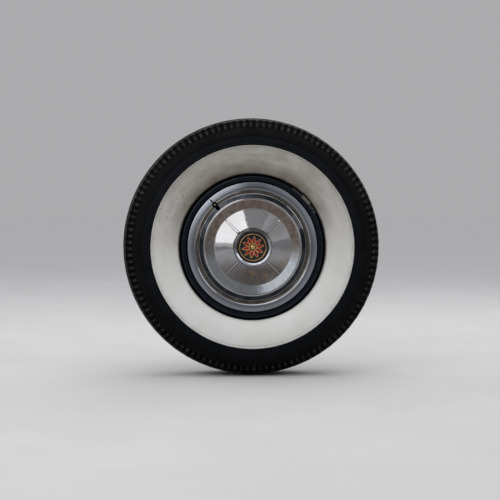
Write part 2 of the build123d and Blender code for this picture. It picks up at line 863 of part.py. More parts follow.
# Wheel cover: one pressed sheet from its centre seat to the edge inside the rim's lip
seat_y = -106.5
cone_top_y = -112.5
hub_slope = 7.0
flange_face = -rim_half - rim_sheet
cone_foot_inset = 81.6
cone_foot_y = -92.5
rim_steps = [
    (56.1, -102.5),
    (49.6, -101),
    (46.6, -80.5),
    (42.1, -80.5),
    (39.9, -92.5),
    (35.1, -92.5),
    (31.1, -86),
    (26.6, -87.5),
    (23.1, -94.2),
    (4.1, -90.2),
]
cone_foot_r = cover_edge_r - cone_foot_inset
cover_points = [
    (0, seat_y),
    (cover_hub_r - hub_slope, seat_y),
    (cover_hub_r, cone_top_y),
    (cone_foot_r, cone_foot_y),
    *[(cover_edge_r - inset, y) for inset, y in rim_steps],
    (cover_edge_r, flange_face - seat_gap - 0.5),
]
cover_radii = [2.5, 2.2, 3, 3.5, 2.6, 2, 2, 1.8, 1.8, 2, 2, 2, 2.4]


def cone_at(r, proud):
    """A point of the cone's line, moved out along the axle."""
    fall = (cone_foot_y - cone_top_y) * (r - cover_hub_r) / (cone_foot_r - cover_hub_r)
    return (r, cone_top_y + fall - proud)


rib_from = cover_hub_r + rib_margin
rib_to = cone_foot_r - rib_margin

with BuildPart() as cover_ribs:
    with BuildSketch(turning):
        with BuildLine():
            Polyline(
                cone_at(rib_from, -cover_sheet / 2),
                cone_at(rib_from, rib_height),
                cone_at(rib_to, rib_height),
                cone_at(rib_to, -cover_sheet / 2),
                close=True,
            )
        make_face()
    revolve(axis=axle)
    with BuildSketch(across_axle(cone_foot_y + cover_sheet)):
        with PolarLocations(0, rib_count, start_angle=rib_angle):
            Polygon(
                (rib_from, -rib_wide / 2),
                (rib_to, -rib_narrow / 2),
                (rib_to, rib_narrow / 2),
                (rib_from, rib_wide / 2),
                align=None,
            )
    extrude(amount=2 * (cone_foot_y - cone_top_y), mode=Mode.INTERSECT)

with BuildPart() as wheel_cover:
    with BuildSketch(turning):
        with BuildLine():
            FilletPolyline(*cover_points, radius=cover_radii)
            offset(amount=cover_sheet, side=Side.LEFT)
        make_face()
    revolve(axis=axle)
    add(cover_ribs.part)
    with BuildSketch(across_axle(flange_face + slot_depth)):
        with PolarLocations(valve_r + (slot_out - slot_in) / 2, 1, start_angle=valve_angle):
            SlotOverall(slot_in + slot_out, slot_width)
        with PolarLocations(valve_r + (slot_out + slit_out) / 2, 1, start_angle=valve_angle):
            SlotOverall(slit_out - slot_out + slit_width, slit_width)
    extrude(amount=4 * slot_depth, mode=Mode.SUBTRACT)
wheel_cover.part.label = "wheel_cover"
export_step(wheel_cover.part, "parts/wheel_cover.step")

# Spring ring that grips the rim's seat and carries the cover by its edge
ring_sheet = 1.0
ring_bend_y = flange_face + 9

with BuildPart() as cover_ring:
    with BuildSketch(turning):
        with BuildLine():
            FilletPolyline(
                (cover_edge_r - 4.5, flange_face - 5.5),
                (seat_at(ring_bend_y) - rim_sheet - 4 * seat_gap, ring_bend_y),
                (seat_at(toe_y) - rim_sheet - seat_gap, toe_y),
                radius=4,
            )
            offset(amount=ring_sheet, side=Side.LEFT)
        make_face()
    revolve(axis=axle)
cover_ring.part.label = "cover_ring"
export_step(cover_ring.part, "parts/cover_ring.step")

# Bezel ring and medallion at the centre of the cover
bezel_y = -117.0

with BuildPart() as medallion_bezel:
    with BuildSketch(turning):
        with BuildLine():
            Polyline(
                (medallion_r + 0.5, seat_y - seat_gap),
                (medallion_r + 0.5, bezel_y + 2),
                (medallion_r + 3, bezel_y),
                (bezel_r - 5, bezel_y + 0.5),
                (bezel_r - 1, cone_top_y - 1.5),
                (bezel_r, cone_top_y - seat_gap),
                (cover_hub_r - hub_slope - seat_gap, seat_y - seat_gap),
                close=True,
            )
        make_face()
    revolve(axis=axle)
medallion_bezel.part.label = "medallion_bezel"
export_step(medallion_bezel.part, "parts/medallion_bezel.step")

medallion_dome = 2.5
dome_r = (medallion_r**2 + medallion_dome**2) / (2 * medallion_dome)
medallion_rim_y = bezel_y + 3


def dome_at(r):
    """A point of the medallion's face."""
    return (r, medallion_rim_y - medallion_dome + dome_r - sqrt(dome_r**2 - r**2))


with BuildPart() as medallion:
    with BuildSketch(turning):
        with BuildLine():
            Polyline(
                dome_at(0),
                (0, seat_y - seat_gap),
                (medallion_r, seat_y - seat_gap),
                dome_at(medallion_r),
            )
            ThreePointArc(dome_at(medallion_r), dome_at(medallion_r / 2), dome_at(0))
        make_face()
    revolve(axis=axle)
medallion.part.label = "medallion"
export_step(medallion.part, "parts/medallion.step")

# Valve: a rubber stem from the rim's hole to the cover's slot, with a brass tip
tip_length = 9.0
tip_r = 3.0
stem_r = 4.2
collar_from = 4.0
collar_height = 5.0
collar_r = 7.5

with BuildPart() as valve_stem:
    with BuildSketch(valve_plane.offset(-collar_from)):
        Circle(valve_hole_r - seat_gap)
    extrude(amount=2 * collar_from)
    with BuildSketch(valve_plane.offset(collar_from)):
        Circle(collar_r)
    extrude(amount=collar_height)
    with BuildSketch(valve_plane.offset(collar_from + collar_height)):
        Circle(stem_r)
    extrude(amount=valve_length - tip_length - collar_from - collar_height)
valve_stem.part.label = "valve_stem"
export_step(valve_stem.part, "parts/valve_stem.step")

with BuildPart() as valve_tip:
    with BuildSketch(valve_plane.offset(valve_length - tip_length)):
        Circle(tip_r)
    extrude(amount=tip_length)
valve_tip.part.label = "valve_tip"
export_step(valve_tip.part, "parts/valve_tip.step")

# Balance weight on the rim's lip, and the spring clip that hooks over it
weight_spoke = spoke_plane(weight_start)
clip_spoke = spoke_plane(clip_start)
lip_face = -rim_lip_half
weight_face = lip_face - weight_height
weight_foot_r = rim_lip_r - weight_inset
weight_top_r = rim_lip_r + weight_proud

with BuildPart() as balance_weight:
    with BuildSketch(weight_spoke):
        with BuildLine():
            Polyline(
                (weight_foot_r, lip_face - seat_gap),
                (weight_foot_r, weight_face + weight_bevel),
                (weight_foot_r + weight_bevel, weight_face),
                (weight_top_r - weight_bevel, weight_face),
                (weight_top_r, weight_face + weight_bevel),
                (weight_top_r, lip_face - seat_gap),
                close=True,
            )
        make_face()
    revolve(axis=axle, revolution_arc=-weight_sweep)
balance_weight.part.label = "balance_weight"
export_step(balance_weight.part, "parts/balance_weight.step")

with BuildPart() as weight_clip:
    with BuildSketch(clip_spoke):
        with BuildLine():
            FilletPolyline(
                (weight_foot_r + weight_bevel / 2, weight_face - seat_gap),
                (weight_top_r + seat_gap, weight_face - seat_gap),
                (weight_top_r + seat_gap, lip_face + clip_hook),
                (rim_lip_r + seat_gap, lip_face + 2 * clip_hook),
                radius=clip_bend_r,
            )
            offset(amount=clip_sheet, side=Side.RIGHT)
        make_face()
    revolve(axis=axle, revolution_arc=-clip_sweep)
weight_clip.part.label = "weight_clip"
export_step(weight_clip.part, "parts/weight_clip.step")
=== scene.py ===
import json
from math import asin, atan2, cos, degrees, hypot, pi, radians, sin, sqrt, tan

import bmesh
import bpy
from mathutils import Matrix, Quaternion, Vector


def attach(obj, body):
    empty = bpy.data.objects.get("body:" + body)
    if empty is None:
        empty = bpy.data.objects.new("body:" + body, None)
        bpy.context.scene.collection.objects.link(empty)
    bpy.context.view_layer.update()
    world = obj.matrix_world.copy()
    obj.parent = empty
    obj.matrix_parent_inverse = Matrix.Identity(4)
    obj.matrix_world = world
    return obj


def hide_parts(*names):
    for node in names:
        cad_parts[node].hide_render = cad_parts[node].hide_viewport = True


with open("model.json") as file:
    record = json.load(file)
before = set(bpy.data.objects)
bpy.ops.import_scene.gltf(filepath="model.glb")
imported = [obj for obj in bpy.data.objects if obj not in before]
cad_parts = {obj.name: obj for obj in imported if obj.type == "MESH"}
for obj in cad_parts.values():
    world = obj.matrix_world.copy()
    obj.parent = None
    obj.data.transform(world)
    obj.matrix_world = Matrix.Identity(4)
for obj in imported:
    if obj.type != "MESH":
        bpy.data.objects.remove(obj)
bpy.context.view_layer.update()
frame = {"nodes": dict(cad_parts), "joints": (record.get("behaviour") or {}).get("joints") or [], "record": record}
nodes = frame["nodes"]

# The wheel's centre, and the sizes that the scene's own pieces share with the solids, in millimetres.
# r is a distance from the axle; y is 0 in the wheel's middle plane and negative towards the camera.
spin = next(joint for joint in frame["joints"] if joint["name"] == "wheel_spin")
centre = Vector(spin["pos_m"])
MM = 0.001

tyre_r = 383.0
tyre_half = 109.0
crown_drop = 10.0
tread_half = 70.0
shoulder_r = 345.0
shoulder_half = 91.8
bead_r = 213.5
bead_half = 85.4
widest_r = (bead_r + shoulder_r) / 2 + 4.7
seam_r = 326.0
white_inner_r = 216.0
white_outer_r = 299.0
white_depth = 2.2
rim_half = 76.2
rim_seat_r = 190.2
seat_inner_r = 187.9
seat_from = -50.0
lug_count = 120

# The cover's cone, and half the width of its ribs, which are narrower by the taper at the cone's outer edge
cone_inner_r, cone_outer_r = 57, 113
rib_half, rib_taper = 3.8, 1.6

# Zones of the cover that its material tells apart, as distances from the axle in metres
cone_zone = (0.0570, 0.1135)
bevel_zone = (0.1128, 0.1402)
flank_zone = (0.1438, 0.1574)
valley_zone = (0.1590, 0.1668)
satin_zone = (0.1705, 0.1915)


# ---- mesh helpers ----

def wheel_point(r, y, angle):
    """Point at that radius and angle round the axle; y is the distance from the wheel's middle plane."""
    return centre + Vector((r * cos(angle), y, r * sin(angle))) * MM


def make_piece(name, body, slot, verts, faces, sharp, finish=None):
    """Smooth-shaded piece in the slot's material or another finish; edges over sharp degrees stay hard."""
    mesh = bpy.data.meshes.new(name)
    mesh.from_pydata(verts, [], faces)
    mesh.update()
    shaped = bmesh.new()
    shaped.from_mesh(mesh)
    bmesh.ops.recalc_face_normals(shaped, faces=shaped.faces)
    for face in shaped.faces:
        face.smooth = True
    for edge in shaped.edges:
        if edge.calc_face_angle(0.0) > radians(sharp):
            edge.smooth = False
    shaped.to_mesh(mesh)
    shaped.free()
    piece = bpy.data.objects.new(name, mesh)
    bpy.context.scene.collection.objects.link(piece)
    mesh.materials.append(materials[finish or slot])
    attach(piece, body)
    return piece


def ring_faces(columns, rows):
    """Faces of a closed outline of that many rows, carried round the axle in that many columns."""
    faces = []
    for col in range(columns):
        after = (col + 1) % columns
        for row in range(rows):
            under = (row + 1) % rows
            faces.append((col * rows + row, after * rows + row, after * rows + under, col * rows + under))
    return faces


def lathe(name, body, slot, profile, columns, sharp, finish=None):
    """Closed (r, y) outline turned round the axle."""
    verts = []
    for col in range(columns):
        angle = 2 * pi * col / columns
        verts += [wheel_point(r, y, angle) for r, y in profile]
    return make_piece(name, body, slot, verts, ring_faces(columns, len(profile)), sharp, finish)


def turn_between(start, end):
    """Signed angle from one flat vector to the other."""
    return atan2(start.x * end.y - start.y * end.x, start.dot(end))


def arc_points(middle, start, turn, count):
    """Points of the arc round middle that begins at middle + start and goes on by that turn."""
    points = []
    for k in range(count + 1):
        swing = turn * k / count
        points.append((
            middle.x + start.x * cos(swing) - start.y * sin(swing),
            middle.y + start.x * sin(swing) + start.y * cos(swing),
        ))
    return points


def rounded(points, radii, step=0.6):
    """Polyline with its inner corners rounded to the radii, in stretches of about step millimetres."""
    widest_turn = 12  # about the most degrees of an arc that one stretch covers
    out = [points[0]]
    for index, radius in enumerate(radii, 1):
        a, b, c = (Vector(points[index + k]) for k in (-1, 0, 1))
        u, v = (a - b).normalized(), (c - b).normalized()
        half = u.angle(v) / 2
        reach = radius / tan(half)
        middle = b + (u + v).normalized() * radius / sin(half)
        start, end = b + u * reach - middle, b + v * reach - middle
        turn = turn_between(start, end)
        count = max(2, int(abs(turn) * radius / step), int(abs(degrees(turn)) / widest_turn))
        out += arc_points(middle, start, turn, count)
    return out + [points[-1]]


def divided(start, end, step):
    """Points that divide a line into stretches no longer than step, without its end."""
    (r0, y0), (r1, y1) = start, end
    count = max(1, int(hypot(r1 - r0, y1 - y0) / step + 0.99))
    return [(r0 + (r1 - r0) * k / count, y0 + (y1 - y0) * k / count) for k in range(count)]


def resample(points, step):
    """Adds points so that no stretch is longer than step."""
    out = []
    for start, end in zip(points, points[1:]):
        out += divided(start, end, step)
    return out + [points[-1]]


def shifted(points, amount):
    """The line moved to its left by amount."""
    out = []
    for index, (r, y) in enumerate(points):
        before = Vector(points[max(index - 1, 0)])
        after = Vector(points[min(index + 1, len(points) - 1)])
        along = (after - before).normalized()
        out.append((r - along.y * amount, y + along.x * amount))
    return out


# ---- tyre profile ----

def arc_r(rise, drop):
    """Radius of the arc that falls by drop over that rise."""
    return (rise**2 + drop**2) / (2 * drop)


crown_arc_r = arc_r(tread_half, crown_drop)
lower_arc_r = arc_r(widest_r - bead_r, tyre_half - bead_half)
upper_arc_r = arc_r(shoulder_r - widest_r, tyre_half - shoulder_half)


def side_at(r, inset=0.0):
    """Point of the outboard sidewall, or of a line parallel to it further in."""
    arc = upper_arc_r if r > widest_r else lower_arc_r
    return (r, arc - tyre_half - sqrt((arc - inset) ** 2 - (r - widest_r) ** 2))


def crown_at(y):
    """Point of the tread's outer surface."""
    return (tyre_r - crown_arc_r + sqrt(crown_arc_r**2 - y**2), y)


def shoulder_line(count):
    """Points from the sidewall's end to the edge of the tread."""
    foot, head = Vector(side_at(shoulder_r)), Vector(crown_at(-tread_half))
    lean = Vector((upper_arc_r - tyre_half - foot.y, shoulder_r - widest_r)).normalized()
    normal = Vector((-lean.y, lean.x))
    span = head - foot
    arc = span.length_squared / (2 * normal.dot(span))
    middle = foot + normal * arc
    start, end = foot - middle, head - middle
    return arc_points(middle, start, turn_between(start, end), count)


# ---- node helpers ----

class Shader:
    """A material's node tree, with its Principled shader and short calls for the nodes it uses."""

    def __init__(self, name, metallic, roughness, **sockets):
        self.material = bpy.data.materials.new(name)
        self.material.use_nodes = True
        self.tree = self.material.node_tree
        self.tree.nodes.clear()
        output = self.tree.nodes.new("ShaderNodeOutputMaterial")
        self.shader = self.tree.nodes.new("ShaderNodeBsdfPrincipled")
        self.link(self.shader.outputs[0], output.inputs[0])
        self.shader.inputs["Metallic"].default_value = metallic
        self.shader.inputs["Roughness"].default_value = roughness
        for key, value in sockets.items():
            self.shader.inputs[key.replace("_", " ")].default_value = value
        self.place = self.tree.nodes.new("ShaderNodeTexCoord").outputs["Object"]

    def link(self, source, target):
        self.tree.links.new(source, target)

    def feed(self, node, index, value):
        """Links a socket to the node's input, or writes a number or vector there."""
        if hasattr(value, "links"):
            self.link(value, node.inputs[index])
        elif value is not None:
            node.inputs[index].default_value = value

    def math(self, operation, a, b=None, clamp=False):
        node = self.tree.nodes.new("ShaderNodeMath")
        node.operation = operation
        node.use_clamp = clamp
        self.feed(node, 0, a)
        self.feed(node, 1, b)
        return node.outputs[0]

    def times(self, first, *others):
        """Product of sockets and numbers."""
        product = first
        for factor in others:
            product = self.math("MULTIPLY", product, factor)
        return product

    def vector(self, operation, a, b=None):
        node = self.tree.nodes.new("ShaderNodeVectorMath")
        node.operation = operation
        self.feed(node, 0, a)
        self.feed(node, 1, b)
        return node.outputs["Value" if operation == "LENGTH" else "Vector"]

    def parts(self, vector):
        """The vector's three parts."""
        node = self.tree.nodes.new("ShaderNodeSeparateXYZ")
        self.link(vector, node.inputs[0])
        return node.outputs[0], node.outputs[1], node.outputs[2]

    def noise(self, scale, detail, at=None, rough=0.55, distortion=0.0):
        node = self.tree.nodes.new("ShaderNodeTexNoise")
        self.link(at or self.place, node.inputs["Vector"])
        node.inputs["Scale"].default_value = scale
        node.inputs["Detail"].default_value = detail
        node.inputs["Roughness"].default_value = rough
        node.inputs["Distortion"].default_value = distortion
        return node.outputs["Fac"]

    def cells(self, scale):
        """Distance to the nearest of scattered points."""
        node = self.tree.nodes.new("ShaderNodeTexVoronoi")
        self.link(self.place, node.inputs["Vector"])
        node.inputs["Scale"].default_value = scale
        return node.outputs["Distance"]

    def ramp(self, value, low, high, start=0.0, end=1.0):
        """Maps low..high smoothly to start..end."""
        node = self.tree.nodes.new("ShaderNodeMapRange")
        node.interpolation_type = "SMOOTHSTEP"
        self.link(value, node.inputs["Value"])
        for key, number in (("From Min", low), ("From Max", high), ("To Min", start), ("To Max", end)):
            node.inputs[key].default_value = number
        return node.outputs["Result"]

    def mix(self, amount, a, b):
        """Colour a where amount is 0 and colour b where it is 1."""
        node = self.tree.nodes.new("ShaderNodeMix")
        node.data_type = "RGBA"
        self.feed(node, 0, amount)
        for index, colour in ((6, a), (7, b)):
            self.feed(node, index, (*colour, 1.0) if isinstance(colour, tuple) else colour)
        return node.outputs[2]

    def bump(self, height, strength, distance):
        node = self.tree.nodes.new("ShaderNodeBump")
        node.inputs["Strength"].default_value = strength
        node.inputs["Distance"].default_value = distance
        self.link(height, node.inputs["Height"])
        return node.outputs["Normal"]

    def colour(self, source):
        self.link(source, self.shader.inputs["Base Color"])

    def rough(self, source):
        self.link(source, self.shader.inputs["Roughness"])

    def normal(self, source):
        self.link(source, self.shader.inputs["Normal"])

    def from_axle(self):
        """Distance from the axle, and how far behind and above the axle a point lies."""
        offset = self.vector("SUBTRACT", self.place, tuple(centre))
        flat = self.vector("MULTIPLY", offset, (1.0, 0.0, 1.0))
        behind, _, above = self.parts(flat)
        return self.vector("LENGTH", flat), behind, above

    def brushed(self, around, across):
        """Coordinates in which noise is drawn out in circles round the axle."""
        radius, behind, above = self.from_axle()
        angle = self.math("ARCTAN2", above, behind)
        joined = self.tree.nodes.new("ShaderNodeCombineXYZ")
        self.link(self.times(radius, across), joined.inputs[0])
        self.link(self.times(angle, around), joined.inputs[1])
        return joined.outputs[0]


def metal(name, base, dark, roughness, *, spread, scale, bump, metallic=1.0, **sockets):
    """Metal or paint with fine mottling, patchy gloss and a slight grain."""
    s = Shader(name, metallic, roughness, **sockets)
    s.colour(s.mix(s.ramp(s.noise(scale, 5.0), 0.35, 0.7), base, dark))
    dullest = roughness + spread
    s.rough(s.ramp(s.noise(scale * 0.4, 4.0), 0.3, 0.75, max(roughness - spread, 0.02), dullest))
    grain = s.math("ADD", s.noise(scale * 12, 3.0), s.times(s.noise(scale * 2, 3.0), 0.6))
    s.normal(s.bump(grain, bump, 0.0006))
    return s.material


def weathered(name, base, dusty, rust, roughness, *, rusted, dusted, metallic=0.0):
    """Paint or bare forging in three tones: base, dust that thickens downwards, small pitted rust spots."""
    s = Shader(name, metallic, roughness)
    above = s.from_axle()[2]
    fine = s.ramp(s.noise(150.0, 6.0), 0.35, 0.7)
    tone = s.mix(fine, base, tuple(c * 1.5 for c in base))
    low = s.ramp(above, 0.14, -0.14, 0.35, 1.0)
    veil = s.times(s.ramp(s.noise(17.0, 7.0, rough=0.65), 0.38, 0.68), low)
    tone = s.mix(s.times(veil, dusted), tone, dusty)
    spots = s.ramp(s.noise(75.0, 8.0, rough=0.7), 0.53, 0.60)
    where = s.ramp(s.noise(11.0, 3.0), 0.40, 0.62)
    rusty = s.times(spots, where, rusted)
    s.colour(s.mix(rusty, tone, rust))
    gloss = s.ramp(s.noise(42.0, 4.0), 0.3, 0.7, roughness - 0.12, roughness + 0.08)
    s.rough(s.math("ADD", gloss, s.times(rusty, 0.3), clamp=True))
    grain = s.math("ADD", s.noise(900.0, 3.0), s.times(s.noise(210.0, 4.0), 1.4))
    s.normal(s.bump(s.math("SUBTRACT", grain, s.times(rusty, 1.2)), 0.22, 0.0005))
    return s.material


# ---- materials; the distances in them are metres ----

def black_rubber(name):
    """Tyre rubber: bluish bloom and painted sheen on the sidewall, worn tread, painted highlights on lug ends,
    painted shade in notches, dust inboard.
    """
    s = Shader(name, 0.0, 0.6, Specular_IOR_Level=0.05)
    radius, behind, above = s.from_axle()
    y = s.parts(s.place)[1]
    tone = s.mix(s.ramp(s.noise(26.0, 5.0), 0.3, 0.75), (0.0018, 0.0019, 0.0022), (0.0036, 0.0037, 0.0041))
    # bluish tint on the sidewall: rubber bloom together with a painted sheen
    bloom_and_sheen = s.times(s.ramp(radius, 0.329, 0.321), s.ramp(s.noise(13.0, 5.0), 0.25, 0.7, 0.35, 1.0))
    tone = s.mix(bloom_and_sheen, tone, (0.0038, 0.0052, 0.0078))

    # pitch: share of one lug's pitch, from the leading edge of a lug to the end of the notch behind it
    angle = s.math("ARCTAN2", above, behind)
    pitch = s.math("FRACT", s.math("ADD", s.times(angle, lug_count / (2 * pi)), float(lug_count)))
    lug = s.times(s.ramp(pitch, 0.0, 0.10), s.ramp(pitch, 0.52, 0.44))
    shoulder = s.times(s.ramp(radius, 0.349, 0.353), s.ramp(radius, 0.380, 0.374))
    # painted shade: the notches between the lugs near black
    notch = s.times(s.math("SUBTRACT", 1.0, lug), shoulder, 0.85)
    tone = s.mix(notch, tone, (0.0004, 0.0004, 0.0004))
    # painted highlight on the lugs' raised ends, a lighter grey like wear
    tip_highlight = s.times(s.ramp(radius, 0.3525, 0.358), s.ramp(radius, 0.369, 0.361), lug)
    tip_highlight = s.times(tip_highlight, s.ramp(s.noise(60.0, 4.0), 0.35, 0.7, 0.2, 1.0))
    tone = s.mix(tip_highlight, tone, (0.033, 0.033, 0.033))

    # tread: radius and the crown's fall at that place add up to the tyre's radius on a rib, and to less in
    # a groove
    across = s.math("DIVIDE", s.math("SUBTRACT", y, centre.y), tread_half * MM)
    bow = s.times(across, across, crown_drop * MM)
    rib = s.times(s.ramp(s.math("ADD", radius, bow), 0.3785, 0.3822),
                  s.ramp(s.math("ABSOLUTE", across), 1.02, 0.93))
    worn = s.times(rib, s.ramp(s.noise(38.0, 6.0), 0.25, 0.7, 0.4, 1.0))
    tone = s.mix(worn, tone, (0.0165, 0.0160, 0.0155))

    dust = s.times(s.ramp(s.noise(7.0, 6.0), 0.45, 0.8), s.ramp(s.noise(420.0, 2.0), 0.3, 0.7))
    tone = s.mix(s.times(dust, 0.1), tone, (0.035, 0.033, 0.030))
    inboard = s.ramp(y, centre.y + 0.072, centre.y + 0.092, 0.0, 0.75)
    inboard = s.times(inboard, s.ramp(s.noise(15.0, 7.0), 0.3, 0.7, 0.35, 1.0))
    s.colour(s.mix(inboard, tone, (0.026, 0.024, 0.021)))
    s.rough(s.ramp(s.noise(34.0, 4.0), 0.3, 0.7, 0.5, 0.72))
    s.normal(s.bump(s.noise(1500.0, 3.0), 0.12, 0.0004))
    return s.material


def white_rubber(name):
    """White sidewall: slightly yellowed, grime and painted shadow on its upper half, brown stain and painted
    shadow at the inner edge of that half, painted shade in a groove, with specks.
    """
    s = Shader(name, 0.0, 0.55, Specular_IOR_Level=0.35)
    radius, behind, above = s.from_axle()
    tone = s.mix(s.ramp(s.noise(9.0, 5.0), 0.3, 0.75), (0.66, 0.66, 0.65), (0.59, 0.59, 0.572))
    rise = s.math("SUBTRACT", above, s.times(behind, 0.05))
    streaky = s.ramp(s.noise(1.0, 5.0, s.brushed(5.0, 60.0)), 0.3, 0.7, 0.78, 1.0)
    patchy = s.ramp(s.noise(22.0, 6.0), 0.32, 0.72, 0.55, 1.0)
    # the upper half darker: grime together with a painted shadow
    grime_and_shadow = s.times(s.ramp(rise, -0.16, 0.25), streaky, 0.8)
    tone = s.mix(grime_and_shadow, tone, (0.175, 0.157, 0.120))
    # brown near the inner edge of the upper half: stain together with a painted shadow
    wide_stain_and_shadow = s.times(s.ramp(radius, 0.262, 0.2165), s.ramp(rise, -0.02, 0.20), patchy, 0.85)
    tone = s.mix(wide_stain_and_shadow, tone, (0.090, 0.062, 0.032))
    edge_stain = s.times(s.ramp(radius, 0.2235, 0.2165), s.ramp(rise, -0.30, 0.10, 0.25, 0.95), patchy)
    tone = s.mix(edge_stain, tone, (0.050, 0.036, 0.020))
    outer_edge = s.times(s.ramp(radius, 0.283, 0.2995), s.ramp(s.noise(40.0, 5.0), 0.35, 0.75, 0.1, 0.5))
    tone = s.mix(outer_edge, tone, (0.22, 0.215, 0.195))
    # painted shade: a darker line in the shallow groove beside the outer rib
    seam_shade = s.times(s.ramp(radius, 0.2893, 0.2915), s.ramp(radius, 0.2952, 0.2932), 0.12)
    tone = s.mix(seam_shade, tone, (0.17, 0.165, 0.15))
    fleck = s.ramp(s.cells(145.0), 0.27, 0.13)
    upper_left = s.times(s.ramp(behind, -0.10, -0.18), s.ramp(rise, 0.03, 0.12))
    where = s.times(s.ramp(s.noise(19.0, 3.0), 0.42, 0.60), s.math("ADD", upper_left, 0.12, clamp=True))
    s.colour(s.mix(s.times(fleck, where, 0.85), tone, (0.060, 0.044, 0.026)))
    s.rough(s.ramp(s.noise(18.0, 4.0), 0.3, 0.7, 0.42, 0.62))
    s.normal(s.bump(s.noise(700.0, 4.0), 0.1, 0.0004))
    return s.material


def polished_cover(name):
    """Stainless cover: mirror cone, filmed bevel, painted reflections, dirt and painted shade in the channel, a
    satin band with fine circular lines.
    """
    s = Shader(name, 1.0, 0.06)
    radius, behind, above = s.from_axle()

    def within(zone, soft=0.0012):
        low, high = zone
        return s.times(s.ramp(radius, low, low + soft), s.ramp(radius, high, high - soft))

    cone, bevel, satin = within(cone_zone), within(bevel_zone, 0.0025), within(satin_zone, 0.002)
    patchy = s.ramp(s.noise(34.0, 5.0), 0.3, 0.7, 0.75, 1.0)
    flank_dirt_and_shade = s.times(within(flank_zone), s.ramp(patchy, 0.75, 1.0, 0.93, 1.0))
    valley = s.times(within(valley_zone), patchy)

    # clean metal: the mirror, a bevel with a painted reflection, bluish below and brownish above, and the satin
    # band
    upper = s.ramp(above, -0.055, 0.050)
    # painted reflection: the bevel bluish below and brownish above
    bevel_reflection_tone = s.mix(upper, (0.205, 0.225, 0.250), (0.185, 0.150, 0.130))
    # painted reflection: the satin band lighter and bluer towards its outer edge
    satin_tone_and_reflection = s.mix(s.ramp(radius, 0.1765, 0.184), (0.135, 0.145, 0.172), (0.25, 0.265, 0.30))
    tone = s.mix(satin, s.mix(bevel, (0.345, 0.345, 0.355), bevel_reflection_tone), satin_tone_and_reflection)
    turned = s.ramp(s.noise(1.0, 3.0, s.brushed(0.8, 1400.0)), 0.35, 0.65)
    tone = s.mix(s.times(turned, satin, 0.2), tone, (0.12, 0.13, 0.16))
    haze = s.ramp(s.noise(30.0, 5.0), 0.35, 0.8)
    tone = s.mix(s.times(haze, 0.3), tone, (0.21, 0.19, 0.165))
    # painted reflection along with film: brown mottling, strongest on the bevel's upper part
    film_and_painted_light = s.times(bevel, s.ramp(s.noise(85.0, 6.0, rough=0.65), 0.42, 0.62, 0.0, 0.75))
    tone = s.mix(s.times(film_and_painted_light, s.ramp(upper, 0.0, 1.0, 0.3, 1.0)), tone, (0.115, 0.078, 0.060))

    # cone: painted reflection low down, dark and brownish, left off the crests of the four ribs, with dried drips,
    # and darker along the ribs' feet; a rib's centre line is where behind and above are equally large
    slant = s.math("SUBTRACT", s.math("ABSOLUTE", behind), s.math("ABSOLUTE", above))
    off_rib = s.times(s.math("ABSOLUTE", slant), sqrt(0.5))
    rib_width = s.ramp(radius, cone_inner_r * MM, cone_outer_r * MM, rib_half * MM,
                       (rib_half - rib_taper) * MM)
    rib_share = s.math("DIVIDE", off_rib, rib_width)
    # painted reflection: the cone's lower part darker and brownish, like road film
    low = s.times(s.ramp(above, -0.022, -0.070, 0.0, 0.85), cone, s.ramp(rib_share, 0.35, 0.85))
    low = s.times(low, s.ramp(s.noise(16.0, 5.0), 0.25, 0.65, 0.6, 1.0))
    tone = s.mix(low, tone, (0.082, 0.069, 0.066))
    runs = s.noise(36.0, 2.0, s.vector("MULTIPLY", s.place, (1.0, 1.0, 0.5)), distortion=0.9)
    drips = s.ramp(s.math("ABSOLUTE", s.math("SUBTRACT", runs, 0.5)), 0.021, 0.004)
    drips = s.times(drips, cone, s.ramp(s.noise(9.0, 2.0), 0.38, 0.52))
    tone = s.mix(s.times(drips, s.ramp(above, 0.01, -0.06, 0.05, 0.85)), tone, (0.265, 0.175, 0.095))
    # darker along both feet of each rib
    foot = s.times(s.ramp(rib_share, 0.80, 1.0), s.ramp(rib_share, 1.5, 1.15), cone, 0.6)
    tone = s.mix(foot, tone, (0.060, 0.055, 0.050))

    # painted shade in the deep channel round the dome, together with dirt: dark bluish grey
    tone = s.mix(flank_dirt_and_shade, tone, (0.018, 0.022, 0.027))
    s.colour(s.mix(valley, tone, (0.062, 0.050, 0.036)))
    plain = s.ramp(s.noise(46.0, 6.0), 0.3, 0.85, 0.06, 0.12)
    lines = s.ramp(s.noise(1.0, 3.0, s.brushed(2.0, 500.0), 0.6), 0.3, 0.7, 0.17, 0.24)
    gloss = s.math("ADD", s.times(plain, s.math("SUBTRACT", 1.0, satin)), s.times(lines, satin))
    streaks = s.ramp(s.noise(1.0, 4.0, s.brushed(26.0, 30.0)), 0.3, 0.72, 0.17, 0.28)
    gloss = s.math("MAXIMUM", gloss, s.times(bevel, streaks))
    s.rough(s.math("MAXIMUM", gloss, s.times(valley, 0.32)))
    dents = s.times(s.noise(26.0, 4.0), s.ramp(radius, 0.142, 0.138))
    s.normal(s.bump(dents, 0.30, 0.0014))
    return s.material


def dulled_chrome(name):
    """Chrome of the bezel: bright low down, its upper left half darker and brownish, a painted shade like a film.
    """
    s = Shader(name, 1.0, 0.1)
    _, behind, above = s.from_axle()
    clean = s.mix(s.ramp(s.noise(80.0, 4.0), 0.3, 0.75), (0.50, 0.515, 0.56), (0.38, 0.39, 0.43))
    upper_left = s.math("SUBTRACT", above, s.times(behind, 0.35))
    # painted shade: the upper left half darker and brownish
    film_and_painted_light = s.times(s.ramp(upper_left, -0.026, 0.030), s.ramp(s.noise(55.0, 5.0), 0.25, 0.7, 0.75, 0.95))
    s.colour(s.mix(film_and_painted_light, clean, (0.060, 0.051, 0.045)))
    s.rough(s.ramp(s.noise(46.0, 5.0), 0.3, 0.8, 0.08, 0.2))
    s.normal(s.bump(s.noise(320.0, 3.0), 0.05, 0.0004))
    return s.material


